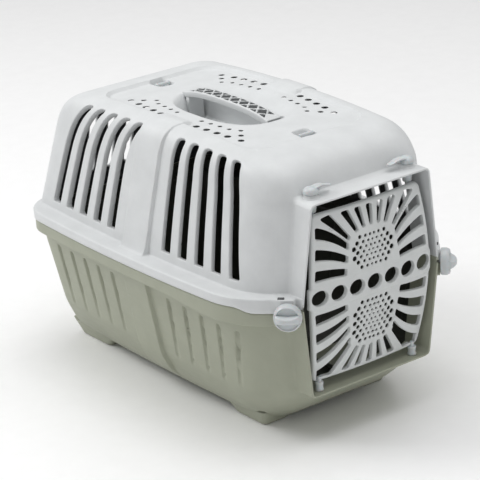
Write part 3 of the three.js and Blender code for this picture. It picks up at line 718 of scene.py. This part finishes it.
def hole_places():
    """Offsets from the middle, half widths and radii of one group of round holes."""
    outer = [(33.5 + 16.7 * i, 74.0 - 1.75 * i, 4.2) for i in range(4)]
    inner = [(23.2 + 14.4 * i, 58.6 - 1.75 * i, 2.9) for i in range(4)]
    column = [(79.0 + 12.3 * i, 46.8 + 9.4 * i, 2.9 + 0.5 * i) for i in range(3)]
    return outer + inner + column


def roof_holes(p):
    along, across = np.abs(p[:, X] - TOP_MIDDLE), np.abs(p[:, Y])
    holes = (np.hypot(np.abs(along - away), across - half) - radius for away, half, radius in hole_places())
    return np.where(roof_mask(p), least(holes), FAR)


def hole_move(p):
    return downwards(np.interp(roof_holes(p), (-0.2, 0.0, 0.3, 0.8), (1.0, 0.5, 0.2, 0.0)))


WELL_HALF_LENGTH = 80.0
WELL_NEAR = 51.0
WELL_FAR = 60.0
WELL_DEPTH = 32.0
DISH_DEPTH = 13.0
WELL_WALL_Y = 15.0


def well_field(p):
    """Roughly the distance outside the handle's well; its far side is a wider dish."""
    half = np.where(p[:, Y] < 0, WELL_NEAR, WELL_FAR)
    along = np.abs((p[:, X] - TOP_MIDDLE) / WELL_HALF_LENGTH)
    ratio = (along ** 2.5 + np.abs(p[:, Y] / half) ** 2.5) ** 0.4
    return np.where(roof_mask(p), (ratio - 1) * 50.0, FAR)


def well_wall(p):
    """Distance past the upright wall between the deep well and the dish beyond the grip."""
    return np.where(roof_mask(p), p[:, Y] - WELL_WALL_Y, FAR)


def well_move(p):
    inwards = -well_field(p)
    scoop = np.exp(-((p[:, X] + 84) / 24) ** 2 - ((p[:, Y] + 36) / 22) ** 2)
    steep = 4.5 + 26.0 * scoop
    deep = WELL_DEPTH * smooth(inwards, 0.0, steep)
    dish = DISH_DEPTH * smooth(inwards, 0.0, 26.0)
    far = smooth(p[:, Y], WELL_WALL_Y - 1.5, WELL_WALL_Y + 1.5)
    return downwards((deep * (1 - far) + dish * far) * roof_mask(p))


STRAPS = ("strap_bar_rear", "strap_bar_front")
POCKET_HALF = (14.0, 10.5)
POCKET_CORNER = 7.0
POCKET_DROP = 10.0


def strap_field(p):
    middles = [np.mean(box_mm(name), axis=0)[X] for name in STRAPS]
    pockets = (box_distance(p[:, X] - x, p[:, Y], *POCKET_HALF, POCKET_CORNER) for x in middles)
    return np.where(roof_mask(p), least(pockets), FAR)


def strap_move(p):
    return downwards(POCKET_DROP * smooth(-strap_field(p), -1.0, 3.5))


LEVELS = shell_levels()
GRID, LENGTHS = stack(LEVELS)
FOOT_ROW = next(i for i, (z, _) in enumerate(LEVELS) if z == FOOT_Z)
LENGTHS = LENGTHS - LENGTHS[FOOT_ROW] - 7.2
ROOF_S = LENGTHS[FOOT_ROW + WALL_ROWS + ROUND_ROWS] + 0.01


def build_shell():
    sheet = Sheet(GRID, LENGTHS, wrap=True)
    cut_collar(sheet)
    sheet.split(shell_slots, 1.4, 0.8, 0.35, 0.0, -0.3)
    sheet.remove(shell_slots, -0.3)
    sheet.split(pillar_field, 0.7, 0.0, -0.7)
    sheet.split(pad_field, 5.0, 0.0, -5.0)
    sheet.split(roof_holes, 0.8, 0.3, 0.0, -0.2)
    sheet.remove(roof_holes, -0.2)
    sheet.split(well_field, 0.0, -1.0, -2.2, -3.4, -4.5)
    sheet.split(well_wall, -1.5, 0.0, 1.5)
    sheet.split(strap_field, 1.0, -1.0, -3.5)
    moves = (collar_move, flange_move, pillar_move, panel_move, hole_move, well_move, strap_move,
             pad_move(RIM_Z, 180.9), parting_move)
    # The shell's inner wall is painted near-black as the shade inside it.
    add_piece("shell_body", (sheet.moved(moves), sheet.faces), "shell", "shell_plastic", "upper_shell",
              closed=False, inside=SHELL_PAINTED_SHADE)


# ---- Tub ----
TONGUE = 5.5
GROOVE_MIDDLE = -19.0
GROOVE_DISTANCES = [55.0 + 29.4 * i for i in range(5)]
GROOVE_TOP = 134.0
GROOVE_LOW = 62.0
GROOVE_HALF = 6.5
GROOVE_DEPTH = 4.0


def tub_section(z):
    """The tub's plan outline at a height, eased between its driving levels."""
    heights = [level for level, _ in TUB_LEVELS][::-1]
    window = np.linspace(z - 7.0, z + 7.0, 15).clip(heights[0], heights[-1])
    columns = list(zip(*[section for _, section in TUB_LEVELS[::-1]]))
    return tuple(float(np.mean(np.interp(window, heights, column))) for column in columns)


def tub_levels():
    top = inset(RIM, 1.5)
    levels = [(z, inset(RIM, 4.5)) for z in (RIM_Z + TONGUE, RIM_Z + TONGUE / 2, RIM_Z - GAP - 0.5)]
    levels += [(z, top) for z in (RIM_Z - GAP, 167.0, 163.5, 160.0, 156.6)]
    levels += [(155.6, inset(RIM, 1.8)), (155.0, inset(RIM, 2.6)), (154.8, inset(RIM, 4.0))]
    wall_top = tub_section(151.0)
    for share, z in ((0.3, 154.6), (0.6, 154.3), (0.85, 153.9), (0.96, 152.8)):
        levels.append((z, mix(inset(RIM, 4.0), wall_top, share)))
    z = 151.0
    while z > 10.0:
        levels.append((z, tub_section(z)))
        z -= 2.7
    belly = tub_section(BELLY_Z)
    levels += [(9.0, inset(belly, 0.4)), (7.8, inset(belly, 1.6)), (BELLY_Z, inset(belly, 3.6))]
    distance = 8.0
    while distance < belly[2]:
        levels.append((BELLY_Z, inset(belly, distance)))
        distance += 8.0
    return levels


def groove_field(p):
    """Distance from the nearest upright groove; grooves are steep behind and open forwards."""
    down = (GROOVE_TOP - p[:, Z]) / (GROOVE_TOP - GROOVE_LOW)
    nearest = np.full(len(p), FAR)
    for distance in GROOVE_DISTANCES:
        for direction in (-1, 1):
            middle = GROOVE_MIDDLE - 3.0 * down + direction * distance * (1 - 0.05 * down)
            across = p[:, X] - middle
            past = np.maximum(p[:, Z] - GROOVE_TOP, 0.0) * 1.6 + np.maximum(GROOVE_LOW - p[:, Z], 0.0)
            nearest = np.minimum(nearest, np.hypot(np.where(across < 0, 2.5 * across, across), past))
    return np.where((np.abs(p[:, Y]) > 80) & (p[:, Z] < 150), nearest, FAR)


def groove_move(p):
    shares = np.interp(groove_field(p), (0.5, 2.5, 4.5, GROOVE_HALF), (1.0, 0.62, 0.22, 0.0))
    deepening = 0.4 + 0.6 * smooth(p[:, Z], GROOVE_LOW, GROOVE_TOP - 20)
    return along_normal(p, -GROOVE_DEPTH * shares * deepening)


def tub_pillar(p):
    away = np.abs(p[:, X] - GROOVE_MIDDLE) - PILLAR_HALF - 8.0 * np.exp(-p[:, Z] / 18.0)
    return np.where((np.abs(p[:, Y]) > PILLAR_WALL_Y) & (p[:, Z] < 154), away, FAR)


def tub_pillar_move(p):
    height = 4.0 * (1 - smooth(tub_pillar(p), -1.1, 1.1)) * smooth(p[:, Z], 16.0, 40.0)
    height *= 1 - smooth(p[:, Z], 150.0, 153.0)
    return along_normal(p, height)


def build_tub():
    grid, lengths = stack(tub_levels())
    sheet = Sheet(grid[::-1], lengths[::-1], wrap=True)
    cut_collar(sheet)
    sheet.split(groove_field, GROOVE_HALF, 4.5, 2.5, 0.5)
    sheet.split(tub_pillar, 1.1, 0.0, -1.1)
    sheet.split(pad_field, 5.0, 0.0, -5.0)
    moves = (collar_move, groove_move, tub_pillar_move, pad_move(BAND_Z, RIM_Z + 2), parting_move)
    # The tub's inner wall is painted near-black as the shade inside it.
    add_piece("tub_body", (sheet.moved(moves), sheet.faces), "tub", "tub_plastic", "lower_tub",
              closed=False, inside=TUB_PAINTED_SHADE)


def ring_mesh(rings, close_ends=True):
    """Points and faces of a skin over rings of equal length."""
    count = len(rings[0])
    faces = []
    for row in range(len(rings) - 1):
        for i in range(count):
            right = (i + 1) % count
            low, high = row * count, (row + 1) * count
            faces.append([low + i, low + right, high + right, high + i])
    if close_ends:
        faces.append(list(range(count))[::-1])
        faces.append([(len(rings) - 1) * count + i for i in range(count)])
    return np.array([p for ring in rings for p in ring], float), faces


def rounded_plan(x0, x1, y0, y1, radius, steps=6):
    corners = ((x1 - radius, y1 - radius, 0), (x0 + radius, y1 - radius, 1),
               (x0 + radius, y0 + radius, 2), (x1 - radius, y0 + radius, 3))
    points = []
    for cx, cy, quarter in corners:
        for i in range(steps + 1):
            angle = math.pi / 2 * (quarter + i / steps)
            points.append((cx + radius * math.cos(angle), cy + radius * math.sin(angle)))
    return points


# Height, how far the plan grows towards the walls, and how far towards the middle.
FOOT_PROFILE = ((0.0, -1.6, -1.6), (0.5, -0.6, -0.6), (1.6, 0.0, 0.0), (6.0, 1.6, 3.0), (11.0, 3.4, 8.0),
                (16.0, 5.4, 16.0), (21.0, 7.2, 26.0))
FEET = (("rear", -1, -223.5, -161.0), ("front", 1, 86.0, 142.0))
FOOT_OUTER_Y = 88.5
FOOT_INNER_Y = 52.0


def build_feet():
    for label, direction, low_x, high_x in FEET:
        for side_label, side in SIDES:
            rings = []
            for z, out, inwards in FOOT_PROFILE:
                x0 = low_x - (out if direction < 0 else inwards)
                x1 = high_x + (inwards if direction < 0 else out)
                plan = rounded_plan(x0, x1, FOOT_INNER_Y - inwards * 0.4, FOOT_OUTER_Y + out, 6.0, steps=2)
                rings.append([(x, side * y, z) for x, y in plan])
            add_piece(f"foot_{label}_{side_label}", ring_mesh(rings), "tub", "tub_plastic")


# ---- Door ----
DOOR_PITCH = 2.3
OVAL_PITCH = 24.3
OVAL_HALF = (10.2, 8.9)
OVAL_SCALE = 9.4
SLOT_CORNER = 1.4
BOW_REACH = 21.0


def door_face(y, z):
    up = z - DOOR_MIDDLE
    return DOOR_CREST - y * y / DOME_ACROSS - up * up / DOME_UP + DOOR_LEAN * up


def door_half(z):
    end = np.where(z > BAND_MIDDLE, DOOR_HIGH[2], DOOR_LOW[2])
    share = np.abs(z - BAND_MIDDLE) / np.abs(end - BAND_MIDDLE)
    return 84.0 - 9.0 * np.clip(share, 0.0, 1.0) ** 1.6


def door_edge(p):
    middle = (DOOR_LOW[2] + DOOR_HIGH[2]) / 2
    half_height = (DOOR_HIGH[2] - DOOR_LOW[2]) / 2
    panel = box_distance(p[:, Y], p[:, Z] - middle, door_half(p[:, Z]), half_height, 6.0)
    band = box_distance(p[:, Y], p[:, Z] - BAND_MIDDLE, BAND_WIDTH, BAND_HALF - 2.0, 1.5)
    return np.minimum(panel, band)


def band_field(p):
    return np.abs(p[:, Z] - BAND_MIDDLE) - BAND_HALF


def grille_polygons():
    """Corners (y, z) of every radiating slot of the grille, and how far it bows upwards."""
    polygons = []

    def add(corners, direction, bow=0.0):
        sides = (-1, 1) if corners[0][0] + corners[1][0] > 1 else (1,)
        for side in sides:
            placed = [(side * y, BAND_MIDDLE + direction * away) for y, away in corners]
            polygons.append((placed, direction * bow))

    for direction, reach, count in ((1, DOOR_HIGH[2] - BAND_MIDDLE, 3), (-1, BAND_MIDDLE - DOOR_LOW[2], 4)):
        for i in range(count):
            outer, inner = 25.2 + 23.4 * i, 20.3 + 13.4 * i
            edge_y = float(door_half(np.array(BAND_MIDDLE + direction * outer))) - 4.0
            inner_y = 37.5 - 2.2 * i
            add([(edge_y, outer - 6.4), (edge_y - 1.5, outer + 6.4), (inner_y - 1.0, inner + 4.2),
                 (inner_y, inner - 4.0)], direction, 1.0 + 1.4 * i)
        edge = reach - 4.2
        near = edge - 23.5
        add([(66.0, edge - 1.5), (52.0, edge), (29.0, near - 6.5), (31.5, near - 10.5)], direction, 0.8)
        add([(38.8, edge), (28.0, edge), (17.0, near - 1.5), (21.6, near - 3.5)], direction)
        add([(20.4, edge), (11.6, edge), (7.8, near), (12.0, near - 0.8)], direction)
        add([(4.2, edge), (-4.2, edge), (-2.0, near + 0.5), (2.0, near + 0.5)], direction)
    return polygons


# Each mesh field of the grille: which way from the band, how far its middle is, rows each way.
MESH_FIELDS = ((1, 38.0, 3), (-1, 44.0, 4))
MESH_HALF = 27.5


def mesh_holes():
    """Centres (y, z) and radii of the round holes; rows and holes spread outwards and grow."""
    holes = []
    for direction, middle, rows in MESH_FIELDS:
        for row in range(-rows, rows + 1):
            far = 4.9 * row + 0.25 * row * abs(row)
            for step in range(-7, 8):
                y = 2.6 * step + 0.16 * step * abs(step)
                if (step + row + rows) % 2 == 0 or abs(y) > MESH_HALF - 0.5 * max(0.0, abs(far) - 10.0):
                    continue
                radius = 1.65 + 0.0019 * (y * y + 0.35 * far * far)
                holes.append((y, BAND_MIDDLE + direction * (middle + far), radius))
    return holes


def plate_depth(y, z):
    """Thickness of the door: a deep grille, thin where the round holes are."""
    depth = np.full(len(y), DOOR_PLATE)
    for direction, middle, rows in MESH_FIELDS:
        up = z - BAND_MIDDLE - direction * middle
        field = box_distance(y, up, MESH_HALF + 2.5, 5.9 * rows + 2.0, 12.0)
        depth = np.minimum(depth, MESH_PLATE + (DOOR_PLATE - MESH_PLATE) * smooth(field, -0.5, 2.5))
    return depth


def door_openings(p):
    y, z = p[:, Y], p[:, Z]

    def slot(corners, bow):
        middle = sum(abs(corner[0]) for corner in corners) / 4
        raised = bow * np.maximum(0.0, 1 - ((np.abs(y) - middle) / BOW_REACH) ** 2)
        return polygon_distance(y, z - raised, corners, SLOT_CORNER)

    def oval(i):
        ratio = np.hypot((y - OVAL_PITCH * i) / OVAL_HALF[0], (z - BAND_MIDDLE) / OVAL_HALF[1])
        return (ratio - 1) * OVAL_SCALE

    slots = (slot(corners, bow) for corners, bow in grille_polygons())
    holes = (np.hypot(y - hole_y, z - hole_z) - radius for hole_y, hole_z, radius in mesh_holes())
    return least(chain(slots, holes, map(oval, range(-3, 4))))


def door_move(p):
    y, z = p[:, Y], p[:, Z]
    opening = np.interp(door_openings(p), (0.0, 0.25, 0.6, 1.1), (0.9, 0.4, 0.1, 0.0))
    edge = np.interp(-door_edge(p), (0.0, 0.4, 1.1, 2.2), (2.0, 1.0, 0.3, 0.0))
    proud = BAND_PROUD * (1 - smooth(band_field(p), -0.8, 0.6))
    ends = np.interp(np.abs(y) - BAND_WIDTH, (-8.0, -5.0), (0.0, 0.6)) * (band_field(p) < -1)
    return forwards(door_face(y, z) + proud - 1.2 * ends - opening - edge - p[:, X])


def build_door():
    y = np.arange(-BAND_WIDTH - 2, BAND_WIDTH + 2.1, DOOR_PITCH)
    z = np.arange(DOOR_LOW[2] - 2, DOOR_HIGH[2] + 2.1, DOOR_PITCH)
    grid = np.array([[(0.0, across, up) for across in y] for up in z])
    sheet = Sheet(grid, z, wrap=False)
    sheet.split(door_edge, 0.0)
    sheet.remove(door_edge, 0.0, inside=False)
    sheet.split(door_edge, -0.4, -1.1, -2.2)
    sheet.split(band_field, 0.6, -0.1, -0.8)
    sheet.split(door_openings, 1.1, 0.6, 0.25, 0.0)
    sheet.remove(door_openings, 0.0)
    front = sheet.moved([door_move])
    back = front.copy()
    back[:, 0] = door_face(front[:, 1], front[:, 2]) - plate_depth(front[:, 1], front[:, 2])
    add_piece("door_grille", plate(front, sheet.faces, back), "door", "door_plastic", "door_panel",
              closed=False)


# ---- Turned and lofted small parts ----

def lathe(profile, steps, close_ends=True):
    """Points and faces turned about Z from (radius, height) pairs, bottom to top."""
    angles = [2 * math.pi * i / steps for i in range(steps)]
    rings = [[(radius * math.cos(t), radius * math.sin(t), height) for t in angles]
             for radius, height in profile]
    return ring_mesh(rings, close_ends)


def dome_profile(radius, low, high, steps=8):
    """The rounded cap of a profile, from its full radius up to the axis."""
    angles = [math.pi / 2 * i / steps for i in range(steps + 1)]
    return [(max(radius * math.cos(t), AXIS), low + (high - low) * math.sin(t)) for t in angles]


def joined(*parts):
    """One set of points and faces from several."""
    points, faces, offset = [], [], 0
    for part_points, part_faces in parts:
        points.append(np.asarray(part_points, float))
        faces += [[index + offset for index in face] for face in part_faces]
        offset += len(part_points)
    return np.vstack(points), faces


def on_pin_axis(part, side):
    """A part moved onto the line that a latch pin and a door post share."""
    return part[0] + (PIN_X, side * PIN_Y, 0.0), part[1]


def at_knob(points, side):
    """Points about a knob's own axis (+X up, +Z outward) placed at its corner."""
    outward = np.array((DIAGONAL, side * DIAGONAL, 0.0))
    up = np.array((0.0, 0.0, 1.0))
    across = np.cross(outward, up)
    seat = np.array((KNOB_AT[0], side * KNOB_AT[1], KNOB_AT[2]))
    return seat + points[:, :1] * up + points[:, 1:2] * across + points[:, 2:3] * outward


KNOB_RADIUS = 15.4
KNOB_BASE = 0.8
KNOB_FACE = 9.6
KNOB_RIM = 11.4
KNOB_GRIP = 19.2
KNOB_PROFILE = (
    (AXIS, KNOB_BASE), (13.6, KNOB_BASE), (14.8, KNOB_BASE + 0.5), (KNOB_RADIUS, KNOB_BASE + 1.6),
    (KNOB_RADIUS, 6.6), (15.3, 8.0), (13.9, KNOB_RIM - 0.5), (13.3, KNOB_RIM),
    (12.7, KNOB_RIM - 0.1), (12.2, KNOB_FACE + 0.6), (11.4, KNOB_FACE), (AXIS, KNOB_FACE),
)
KNOB_SHAFT = ((AXIS, -9.5), (4.5, -9.5), (4.5, 2.0), (AXIS, 2.0))
GRIP_REACH = 13.4


def grip_bar():
    """The knob's finger bar: a wing with a waist, rounded along its top."""
    rings = []
    steps = 24
    for i in range(steps + 1):
        y = GRIP_REACH * (2 * i / steps - 1)
        out = abs(y / GRIP_REACH)
        top = KNOB_GRIP - 6.4 * out ** 3
        half = 4.6 * (0.8 + 0.3 * out ** 1.5)
        ring = []
        for x, z in ((half * 1.15, KNOB_FACE - 1.0), (half, KNOB_FACE + 2.0), (half * 0.85, top - 1.6),
                     (half * 0.5, top - 0.35), (0.0, top), (-half * 0.5, top - 0.35),
                     (-half * 0.85, top - 1.6), (-half, KNOB_FACE + 2.0), (-half * 1.15, KNOB_FACE - 1.0)):
            ring.append((x, y, z))
        rings.append(ring)
    return ring_mesh(rings)


def build_knobs():
    parts = (("disc", lathe(KNOB_PROFILE, 56)), ("grip", grip_bar()), ("shaft", lathe(KNOB_SHAFT, 24)))
    for label, side in SIDES:
        for kind, (points, faces) in parts:
            add_piece(f"knob_{kind}_{label}", (at_knob(points, side), faces), f"knob_{label}",
                      "fitting_plastic", f"knob_{label}")


# Corners along the ledge from the knob and inwards from it, and the slot's two heights.
LEDGE_SLOT = ((-11.0, 1.8), (-4.0, 1.8), (-4.0, 6.2), (-11.0, 6.2))
LEDGE_SLOT_LEVELS = (180.4, 182.0)


def build_ledge_slot_shades():
    """A small dark box in the ledge beside each knob, painted shade where the slot for the locking catch is
    moulded.
    """
    for label, side in SIDES:
        corners = []
        for z in LEDGE_SLOT_LEVELS:
            corners.append([(KNOB_AT[0] + (along - inwards) * DIAGONAL,
                             side * (KNOB_AT[1] - (along + inwards) * DIAGONAL), z)
                            for along, inwards in LEDGE_SLOT])
        points, faces = ring_mesh(corners)
        slot = make_object(f"ledge_slot_{label}", points, faces, SHELL_PAINTED_SHADE, closed=True)
        place_piece(slot, "shell", "shell_plastic")


LEVER_BASE = 289.3
LEVER_RADIUS = 8.6
LEVER_TOP = 297.2
RIB_HALF_WIDTH = 1.2
RIB_LEVELS = ((290.2, 1.0), (292.0, 2.4), (295.0, 7.0))
BOSS_PROFILE = (
    (AXIS, 282.5), (10.4, 282.5), (10.2, 285.0), (8.6, 285.7), (7.9, 286.8), (7.6, 288.4), (7.2, 289.0),
    (3.0, 289.0), (2.95, 284.0), (AXIS, 284.0),
)
PIN_PROFILE = (
    (AXIS, 262.5), (2.0, 262.5), (2.5, 263.2), (2.5, 270.3), (4.15, 270.5), (4.15, 271.5), (2.5, 271.7),
    (2.5, 291.6), (2.0, 292.0), (AXIS, 292.0),
)
GUIDE_PROFILE = (
    (2.9, 268.4), (4.6, 268.4), (5.0, 269.2), (5.1, 272.2), (5.6, 272.8), (5.6, 274.6), (5.2, 275.2),
    (5.4, 281.6), (4.5, 281.6), (4.5, 270.0), (2.9, 269.9), (2.9, 268.4),
)


def leaf_arm():
    """The latch's finger leaf, from the dome down towards the middle of the lip."""
    rings = []
    steps = 20
    for i in range(steps + 1):
        t = i / steps
        y = PIN_Y - 2.0 - 25.0 * t
        rise = 1.0 * math.sin(math.pi * min(1.0, t * 1.4))
        top = LEVER_TOP - 1.0 + rise - 6.0 * max(0.0, t - 0.45) ** 1.3
        thick = 3.2 - 1.7 * t
        half = 5.6 - 1.8 * t
        if t > 0.85:
            half *= math.sqrt(max(0.06, 1 - ((t - 0.85) / 0.155) ** 2))
        ring = [(PIN_X + x * half, y, top - drop * thick) for x, drop in (
            (1.0, 0.55), (0.85, 0.18), (0.45, 0.02), (0.0, 0.0), (-0.45, 0.02), (-0.85, 0.18), (-1.0, 0.55),
            (-0.75, 0.95), (0.0, 0.8), (0.75, 0.95))]
        rings.append(ring)
    return ring_mesh(rings)


def lever(side):
    """A latch's cap, its finger leaf and the rib under the leaf."""
    cap = [(AXIS, LEVER_BASE), (7.6, LEVER_BASE), (LEVER_RADIUS, LEVER_BASE + 0.7)]
    cap += dome_profile(LEVER_RADIUS, LEVER_BASE + 2.2, LEVER_TOP)
    near, far = PIN_X - RIB_HALF_WIDTH, PIN_X + RIB_HALF_WIDTH
    edge = PIN_Y - 9.0
    rib = [[(near, edge, z), (far, edge, z), (far, edge - reach, z), (near, edge - reach, z)]
           for z, reach in RIB_LEVELS]
    points, faces = joined(on_pin_axis(lathe(cap, 40), 1), leaf_arm(), ring_mesh(rib))
    points[:, Y] *= side
    return points, faces


def build_latches():
    for label, side in SIDES:
        body = f"latch_{label}"
        add_piece(f"latch_lever_body_{label}", lever(side), body, "fitting_plastic", f"latch_lever_{label}")
        add_piece(f"latch_boss_{label}", on_pin_axis(lathe(BOSS_PROFILE, 36), side), "shell", "shell_plastic")
        add_piece(f"latch_pin_body_{label}", on_pin_axis(lathe(PIN_PROFILE, 24), side), body,
                  "fitting_plastic", f"latch_pin_{label}")
        add_piece(f"latch_guide_body_{label}", on_pin_axis(lathe(GUIDE_PROFILE, 28, close_ends=False), side),
                  "shell", "fitting_plastic", f"latch_guide_{label}")
        build_spring(label, side)


SPRING_LOW, SPRING_HIGH = box_mm("latch_spring_right")


def build_spring(label, side):
    """Four turns of wire between the pin's shoulder and the lip."""
    wire, coil, turns, steps = 0.3, 3.5, 4, 96
    low, high = SPRING_LOW[2] + wire, SPRING_HIGH[2] - wire
    rings = []
    for i in range(steps + 1):
        t = i / steps
        angle = 2 * math.pi * turns * t
        ring = []
        for j in range(8):
            around = 2 * math.pi * j / 8
            reach = coil + wire * math.cos(around)
            ring.append((PIN_X + reach * math.cos(angle), side * PIN_Y + reach * math.sin(angle),
                         low + (high - low) * t + wire * math.sin(around)))
        rings.append(ring)
    points, faces = ring_mesh(rings)
    spring = make_object(f"latch_coil_{label}", points, faces, FINISHES["spring_steel"], closed=True)
    place_piece(spring, "shell", "spring_steel", f"latch_spring_{label}")
    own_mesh(spring)


def build_hinge_pins():
    low = box_mm("hinge_pin_right")[0][2]
    door = DOOR_LOW[2]
    for label, side in SIDES:
        profile = ((AXIS, low), (2.4, low), (2.5, 62.3), (5.0, 62.4), (5.0, 64.2), (4.3, 65.0),
                   (4.3, door - 3.4), (4.8, door - 2.8), (4.8, door - 0.9), (4.2, door - 0.35),
                   (2.5, door - 0.35), (2.5, door + 4.6), (1.9, door + 5.4), (AXIS, door + 5.4))
        add_piece(f"door_post_{label}", on_pin_axis(lathe(profile, 32), side), "tub", "fitting_plastic",
                  f"hinge_pin_{label}")


# ---- Handle and strap bars ----
GRIP_REAR = -85.0
GRIP_FRONT = 73.0
GRIP_HALF = 10.4
GRIP_CELLS = 9
GRIP_THICK = 8.5
RIB_HALF = 1.2
POCKET_DEPTH = 6.5


def grip_top(x):
    reach = (x - TOP_MIDDLE) / (GRIP_FRONT - TOP_MIDDLE)
    return GRIP_HIGH[2] - 0.3 - 7.5 * np.abs(reach) ** 3


def grip_pockets(p):
    """Distance outside the pockets that leave a crossed lattice on the grip's top."""
    rail = GRIP_HALF - 1.6
    pitch = (GRIP_FRONT - GRIP_REAR - 10.0) / GRIP_CELLS
    nearest = np.full(len(p), FAR)
    for i in range(GRIP_CELLS):
        low = GRIP_REAR + 5.0 + pitch * i
        middle, high = low + pitch / 2, low + pitch
        shapes = [[(low, -rail), (high, -rail), (middle, 0.0)], [(low, rail), (middle, 0.0), (high, rail)]]
        if i:
            shapes.append([(low - pitch / 2, 0.0), (low, -rail), (low + pitch / 2, 0.0), (low, rail)])
        for shape in shapes:
            nearest = np.minimum(nearest, polygon_distance(p[:, X], p[:, Y], shape) + RIB_HALF)
    return nearest


def build_handle():
    x = np.linspace(GRIP_REAR, GRIP_FRONT, 106)
    y = np.linspace(-GRIP_HALF, GRIP_HALF, 17)
    grid = np.array([[(along, across, 0.0) for along in x] for across in y])
    sheet = Sheet(grid, y, wrap=False)
    sheet.split(grip_pockets, 0.5, 0.0, -0.2)

    def move(p):
        edge = np.maximum(np.abs(p[:, Y]) - (GRIP_HALF - 1.4), 0.0)
        round_edge = 1.4 - np.sqrt(np.maximum(1.4 ** 2 - edge ** 2, 0.0))
        pocket = np.interp(grip_pockets(p), (-0.2, 0.0, 0.5), (POCKET_DEPTH, 0.5, 0.0))
        return np.column_stack([np.zeros((len(p), 2)), grip_top(p[:, X]) - round_edge - pocket])

    front = sheet.moved([move])
    back = front.copy()
    back[:, 2] = grip_top(front[:, 0]) - GRIP_THICK + 0.02 * front[:, 1] ** 2
    grip = add_piece("handle_lattice", plate(front, sheet.faces, back), "shell", "handle_plastic",
                     "handle_grip")
    # The pocket faces take the dark grey that paints the shade in them.
    grip.data.materials.append(POCKET_PAINTED_SHADE)
    centres = np.array([face.center for face in grip.data.polygons]) / MM
    sunk = grip_top(centres[:, X]) - centres[:, Z]
    pocket = (sunk > 0.8) & (sunk < POCKET_DEPTH + 0.5) & (np.abs(centres[:, Y]) < GRIP_HALF - 1.5)
    grip.data.polygons.foreach_set("material_index", pocket.astype(int))
    for label, middle in (("rear", GRIP_LOW[0] + 3.6), ("front", GRIP_HIGH[0] - 3.6)):
        rings = []
        for z, half_x, half_y in ((GRIP_LOW[2] + 2.0, 3.4, 12.0), (GRIP_HIGH[2] - 20.0, 3.0, 11.0),
                                  (GRIP_HIGH[2] - 9.5, 3.4, 9.6)):
            plan = rounded_plan(middle - half_x, middle + half_x, -half_y, half_y, 1.4)
            rings.append([(px, py, z) for px, py in plan])
        add_piece(f"handle_leg_{label}", ring_mesh(rings), "shell", "handle_plastic", "handle_grip")


def build_strap_bars():
    for name in STRAPS:
        low, high = box_mm(name)
        x, z, half = (low[0] + high[0]) / 2, (low[2] + high[2]) / 2, (high[1] - low[1]) / 2
        radius = (high[2] - low[2]) / 2
        profile = [(AXIS, -half), (radius * 0.8, -half), (radius, -half + 0.5), (radius, -half + 2.2),
                   (radius * 0.86, -half + 3.0), (radius * 0.86, half - 3.0), (radius, half - 2.2),
                   (radius, half - 0.5), (radius * 0.8, half), (AXIS, half)]
        points, faces = lathe(profile, 28)
        turned = np.column_stack([points[:, 0] + x, points[:, 2], z - points[:, 1]])
        add_piece(f"{name}_body", (turned, faces), "shell", "fitting_plastic", name)


# ---- Camera, light and floor ----
AZIMUTH = math.radians(53.507)
ELEVATION = math.radians(21.293)
ROLL = math.radians(-3.3278)
SIGHT = np.array((-3.8, 0.0, 157.37))
DISTANCE = 2602.0
FOCAL = 168.5
FLOOR_REACH = 6.0
FLOOR_DROP = 0.0005
SKY_STRENGTH = 0.44


def build_camera():
    back = np.array((math.sin(AZIMUTH) * math.cos(ELEVATION), -math.cos(AZIMUTH) * math.cos(ELEVATION),
                     math.sin(ELEVATION)))
    right = np.array((math.cos(AZIMUTH), math.sin(AZIMUTH), 0.0))
    up = np.cross(back, right)
    across = right * math.cos(ROLL) + up * math.sin(ROLL)
    above = up * math.cos(ROLL) - right * math.sin(ROLL)
    place = (SIGHT + back * DISTANCE) * MM
    data = bpy.data.cameras.new("camera")
    data.lens = FOCAL
    data.sensor_width = 36.0
    data.clip_end = 50.0
    camera = bpy.data.objects.new("camera", data)
    columns = np.column_stack([across, above, back, place])
    camera.matrix_world = Matrix(np.vstack([columns, (0.0, 0.0, 0.0, 1.0)]))
    bpy.context.scene.collection.objects.link(camera)
    bpy.context.scene.camera = camera


def area_light(name, place, target, size, power):
    data = bpy.data.lights.new(name, "AREA")
    data.energy = power
    data.size = size
    lamp = bpy.data.objects.new(name, data)
    lamp.location = place
    direction = Vector(target) - Vector(place)
    lamp.rotation_euler = direction.to_track_quat("-Z", "Y").to_euler()
    bpy.context.scene.collection.objects.link(lamp)


def build_stage():
    corners = [(x * FLOOR_REACH, y * FLOOR_REACH, -FLOOR_DROP)
               for x, y in ((-1, -1), (1, -1), (1, 1), (-1, 1))]
    floor = make_object("floor", np.array(corners) / MM, [[0, 1, 2, 3]],
                        plastic("floor_finish", (0.96, 0.96, 0.96), variation=0.01, bump=0.0))
    world = bpy.data.worlds.new("studio")
    world.use_nodes = True
    background = world.node_tree.nodes["Background"]
    background.inputs["Color"].default_value = (1.0, 1.0, 1.0, 1.0)
    background.inputs["Strength"].default_value = SKY_STRENGTH
    bpy.context.scene.world = world
    area_light("key", (-1.6, -1.5, 2.0), (0.0, 0.0, 0.15), 1.4, 36.0)
    area_light("top", (0.2, 0.4, 2.6), (0.0, 0.0, 0.2), 2.2, 34.0)
    area_light("front", (2.4, -0.4, 1.2), (0.1, 0.0, 0.15), 1.4, 2.0)
    bpy.context.scene.view_settings.view_transform = "Standard"


def dress_cad():
    """Materials for every CAD node, by the slot that the record gives it."""
    slots = {part["node"]: part["material_slot"] for part in frame["record"]["subparts"]}
    for name, cad in frame["nodes"].items():
        for place in cad.material_slots:
            place.material = FINISHES[slots[name]]


build_camera()
build_stage()
dress_cad()
build_shell()
build_tub()
build_feet()
build_door()
build_knobs()
build_ledge_slot_shades()
build_latches()
build_hinge_pins()
build_handle()
build_strap_bars()
